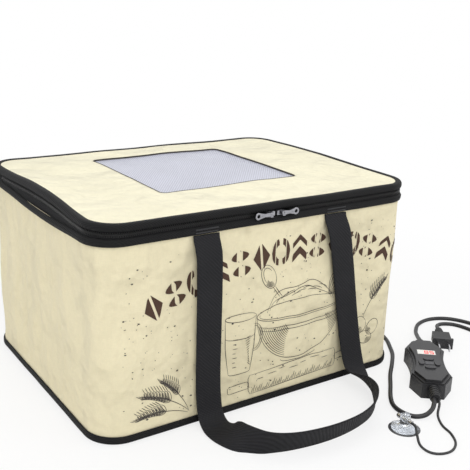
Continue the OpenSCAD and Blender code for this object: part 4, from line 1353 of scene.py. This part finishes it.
class PROOFER_OT_controller(bpy.types.Operator):
    """Finish the controller, the probe, the plug and the parts inside"""
    bl_idname = "proofer.controller"
    bl_label = "Controller, probe and plug"

    def execute(self, context):
        case = moulded_finish("case plastic", srgb(30, 30, 32), 0.38, 0.1)
        keys = moulded_finish("key rubber", srgb(52, 52, 55), 0.5, 0.05)
        rubber = bpy.data.materials["cord rubber"]
        steel = metal_finish("bare steel", srgb(205, 205, 208), 0.22)
        for node in ("case_lower", "case_upper"):
            dress(node, case)
        for node in ("button_power", "button_down", "button_up", "button_set", "key_pad"):
            dress(node, keys)
        for node in ("relief_top", "relief_bottom", "plug_body", "cable_grommet"):
            dress(node, rubber)
        for node in ("probe_tip", "plug_blades", "case_screws"):
            dress(node, steel)
        dress("display_window", lit_finish("display pane", srgb(214, 214, 210), 0.35))
        dress("display_digits", lit_finish("display digits", srgb(226, 40, 30), 0.8))
        dress("suction_cup", clear_finish("clear cup"))
        dress("circuit_board", moulded_finish("board lacquer", srgb(36, 92, 52), 0.4))
        dress("heating_mat", moulded_finish("mat rubber", srgb(38, 38, 40), 0.7, 0.3))
        dress("mat_gland", moulded_finish("gland rubber", srgb(30, 30, 32), 0.6, 0.1))
        dress("bottom_panel", bpy.data.materials["wall canvas"])
        dress("base_board", moulded_finish("board", srgb(32, 32, 33), 0.8))
        return {"FINISHED"}


class PROOFER_OT_stage(bpy.types.Operator):
    """Lay the pale floor and set the soft studio lamps"""
    bl_idname = "proofer.stage"
    bl_label = "Stage"

    def execute(self, context):
        floor = mesh_piece("floor", [(-6, -6, 0), (6, -6, 0), (6, 6, 0), (-6, 6, 0)], [(0, 1, 2, 3)])
        material = bpy.data.materials.new("pale floor")
        material.use_nodes = True
        tree = material.node_tree
        shader = tree.nodes["Principled BSDF"]
        shader.inputs["Base Color"].default_value = (*colours().floor, 1)
        shader.inputs["Roughness"].default_value = 0.9
        shader.inputs["Specular IOR Level"].default_value = 0.1
        glow = tree.nodes.new("ShaderNodeEmission")
        glow.inputs["Strength"].default_value = 1.0
        seen = tree.nodes.new("ShaderNodeLightPath")
        blend = tree.nodes.new("ShaderNodeMixShader")
        place = tree.nodes.new("ShaderNodeTexCoord")
        away = tree.nodes.new("ShaderNodeVectorMath")
        away.operation = "LENGTH"
        tree.links.new(place.outputs["Object"], away.inputs[0])
        white = math_node(tree, "MULTIPLY_ADD", away.outputs["Value"], 0.55, 0.62)
        white = math_node(tree, "MINIMUM", white, 1.0)
        tree.links.new(math_node(tree, "MULTIPLY", seen.outputs["Is Camera Ray"], white), blend.inputs["Fac"])
        tree.links.new(shader.outputs[0], blend.inputs[1])
        tree.links.new(glow.outputs[0], blend.inputs[2])
        tree.links.new(blend.outputs[0], tree.nodes["Material Output"].inputs["Surface"])
        floor.data.materials.append(material)
        world = bpy.data.worlds.new("studio")
        context.scene.world = world
        world.use_nodes = True
        tree = world.node_tree
        tree.nodes["Background"].inputs["Color"].default_value = (1, 1, 1, 1)
        tree.nodes["Background"].inputs["Strength"].default_value = 0.45
        plain = tree.nodes.new("ShaderNodeBackground")
        plain.inputs["Color"].default_value = (1, 1, 1, 1)
        plain.inputs["Strength"].default_value = 1.0
        choose = tree.nodes.new("ShaderNodeMixShader")
        path = tree.nodes.new("ShaderNodeLightPath")
        direct = math_node(tree, "MAXIMUM", path.outputs["Is Camera Ray"], path.outputs["Is Glossy Ray"])
        direct = math_node(tree, "MAXIMUM", direct, path.outputs["Is Transmission Ray"])
        tree.links.new(direct, choose.inputs["Fac"])
        tree.links.new(tree.nodes["Background"].outputs[0], choose.inputs[1])
        tree.links.new(plain.outputs[0], choose.inputs[2])
        tree.links.new(choose.outputs[0], tree.nodes["World Output"].inputs["Surface"])
        for name, place, power, size in (("key lamp", (-0.6, -1.7, 1.9), 24, 1.4),
                                         ("side lamp", (-1.9, 0.1, 1.1), 9, 1.4),
                                         ("right lamp", (1.6, -1.5, 0.9), 9, 1.2),
                                         ("top lamp", (0.4, 0.5, 2.2), 12, 1.6)):
            data = bpy.data.lights.new(name, "AREA")
            data.energy = power
            data.size = size
            lamp = placed(name, data)
            lamp.location = place
            aim = Vector((0, 0, 0.1)) - Vector(place)
            lamp.rotation_euler = aim.to_track_quat("-Z", "Y").to_euler()
        context.scene.view_settings.view_transform = "Standard"
        return {"FINISHED"}


class PROOFER_PT_panel(bpy.types.Panel):
    """Lists the makers of the dough proofer"""
    bl_label = "Dough Proofer"
    bl_idname = "PROOFER_PT_panel"
    bl_space_type = "VIEW_3D"
    bl_region_type = "UI"
    bl_category = "Proofer"

    def draw(self, context):
        for maker in MAKERS:
            self.layout.operator(maker.bl_idname)


MAKERS = (PROOFER_OT_camera, PROOFER_OT_cords, PROOFER_OT_walls, PROOFER_OT_bindings, PROOFER_OT_zipper,
          PROOFER_OT_lid, PROOFER_OT_handles, PROOFER_OT_print, PROOFER_OT_controller, PROOFER_OT_stage)
CLASSES = (ProoferSizes, ProoferColours, *MAKERS, PROOFER_PT_panel)


def register():
    for item in CLASSES:
        bpy.utils.register_class(item)
    bpy.types.Scene.proofer_sizes = PointerProperty(type=ProoferSizes)
    bpy.types.Scene.proofer_colours = PointerProperty(type=ProoferColours)


def unregister():
    del bpy.types.Scene.proofer_colours
    del bpy.types.Scene.proofer_sizes
    for item in reversed(CLASSES):
        bpy.utils.unregister_class(item)


def main():
    register()
    bpy.ops.proofer.camera()
    bpy.ops.proofer.cords()
    bpy.ops.proofer.walls()
    bpy.ops.proofer.bindings()
    bpy.ops.proofer.zipper()
    bpy.ops.proofer.lid()
    bpy.ops.proofer.handles()
    bpy.ops.proofer.print()
    bpy.ops.proofer.controller()
    bpy.ops.proofer.stage()
    bpy.context.view_layer.update()


if __name__ == "__main__":
    main()
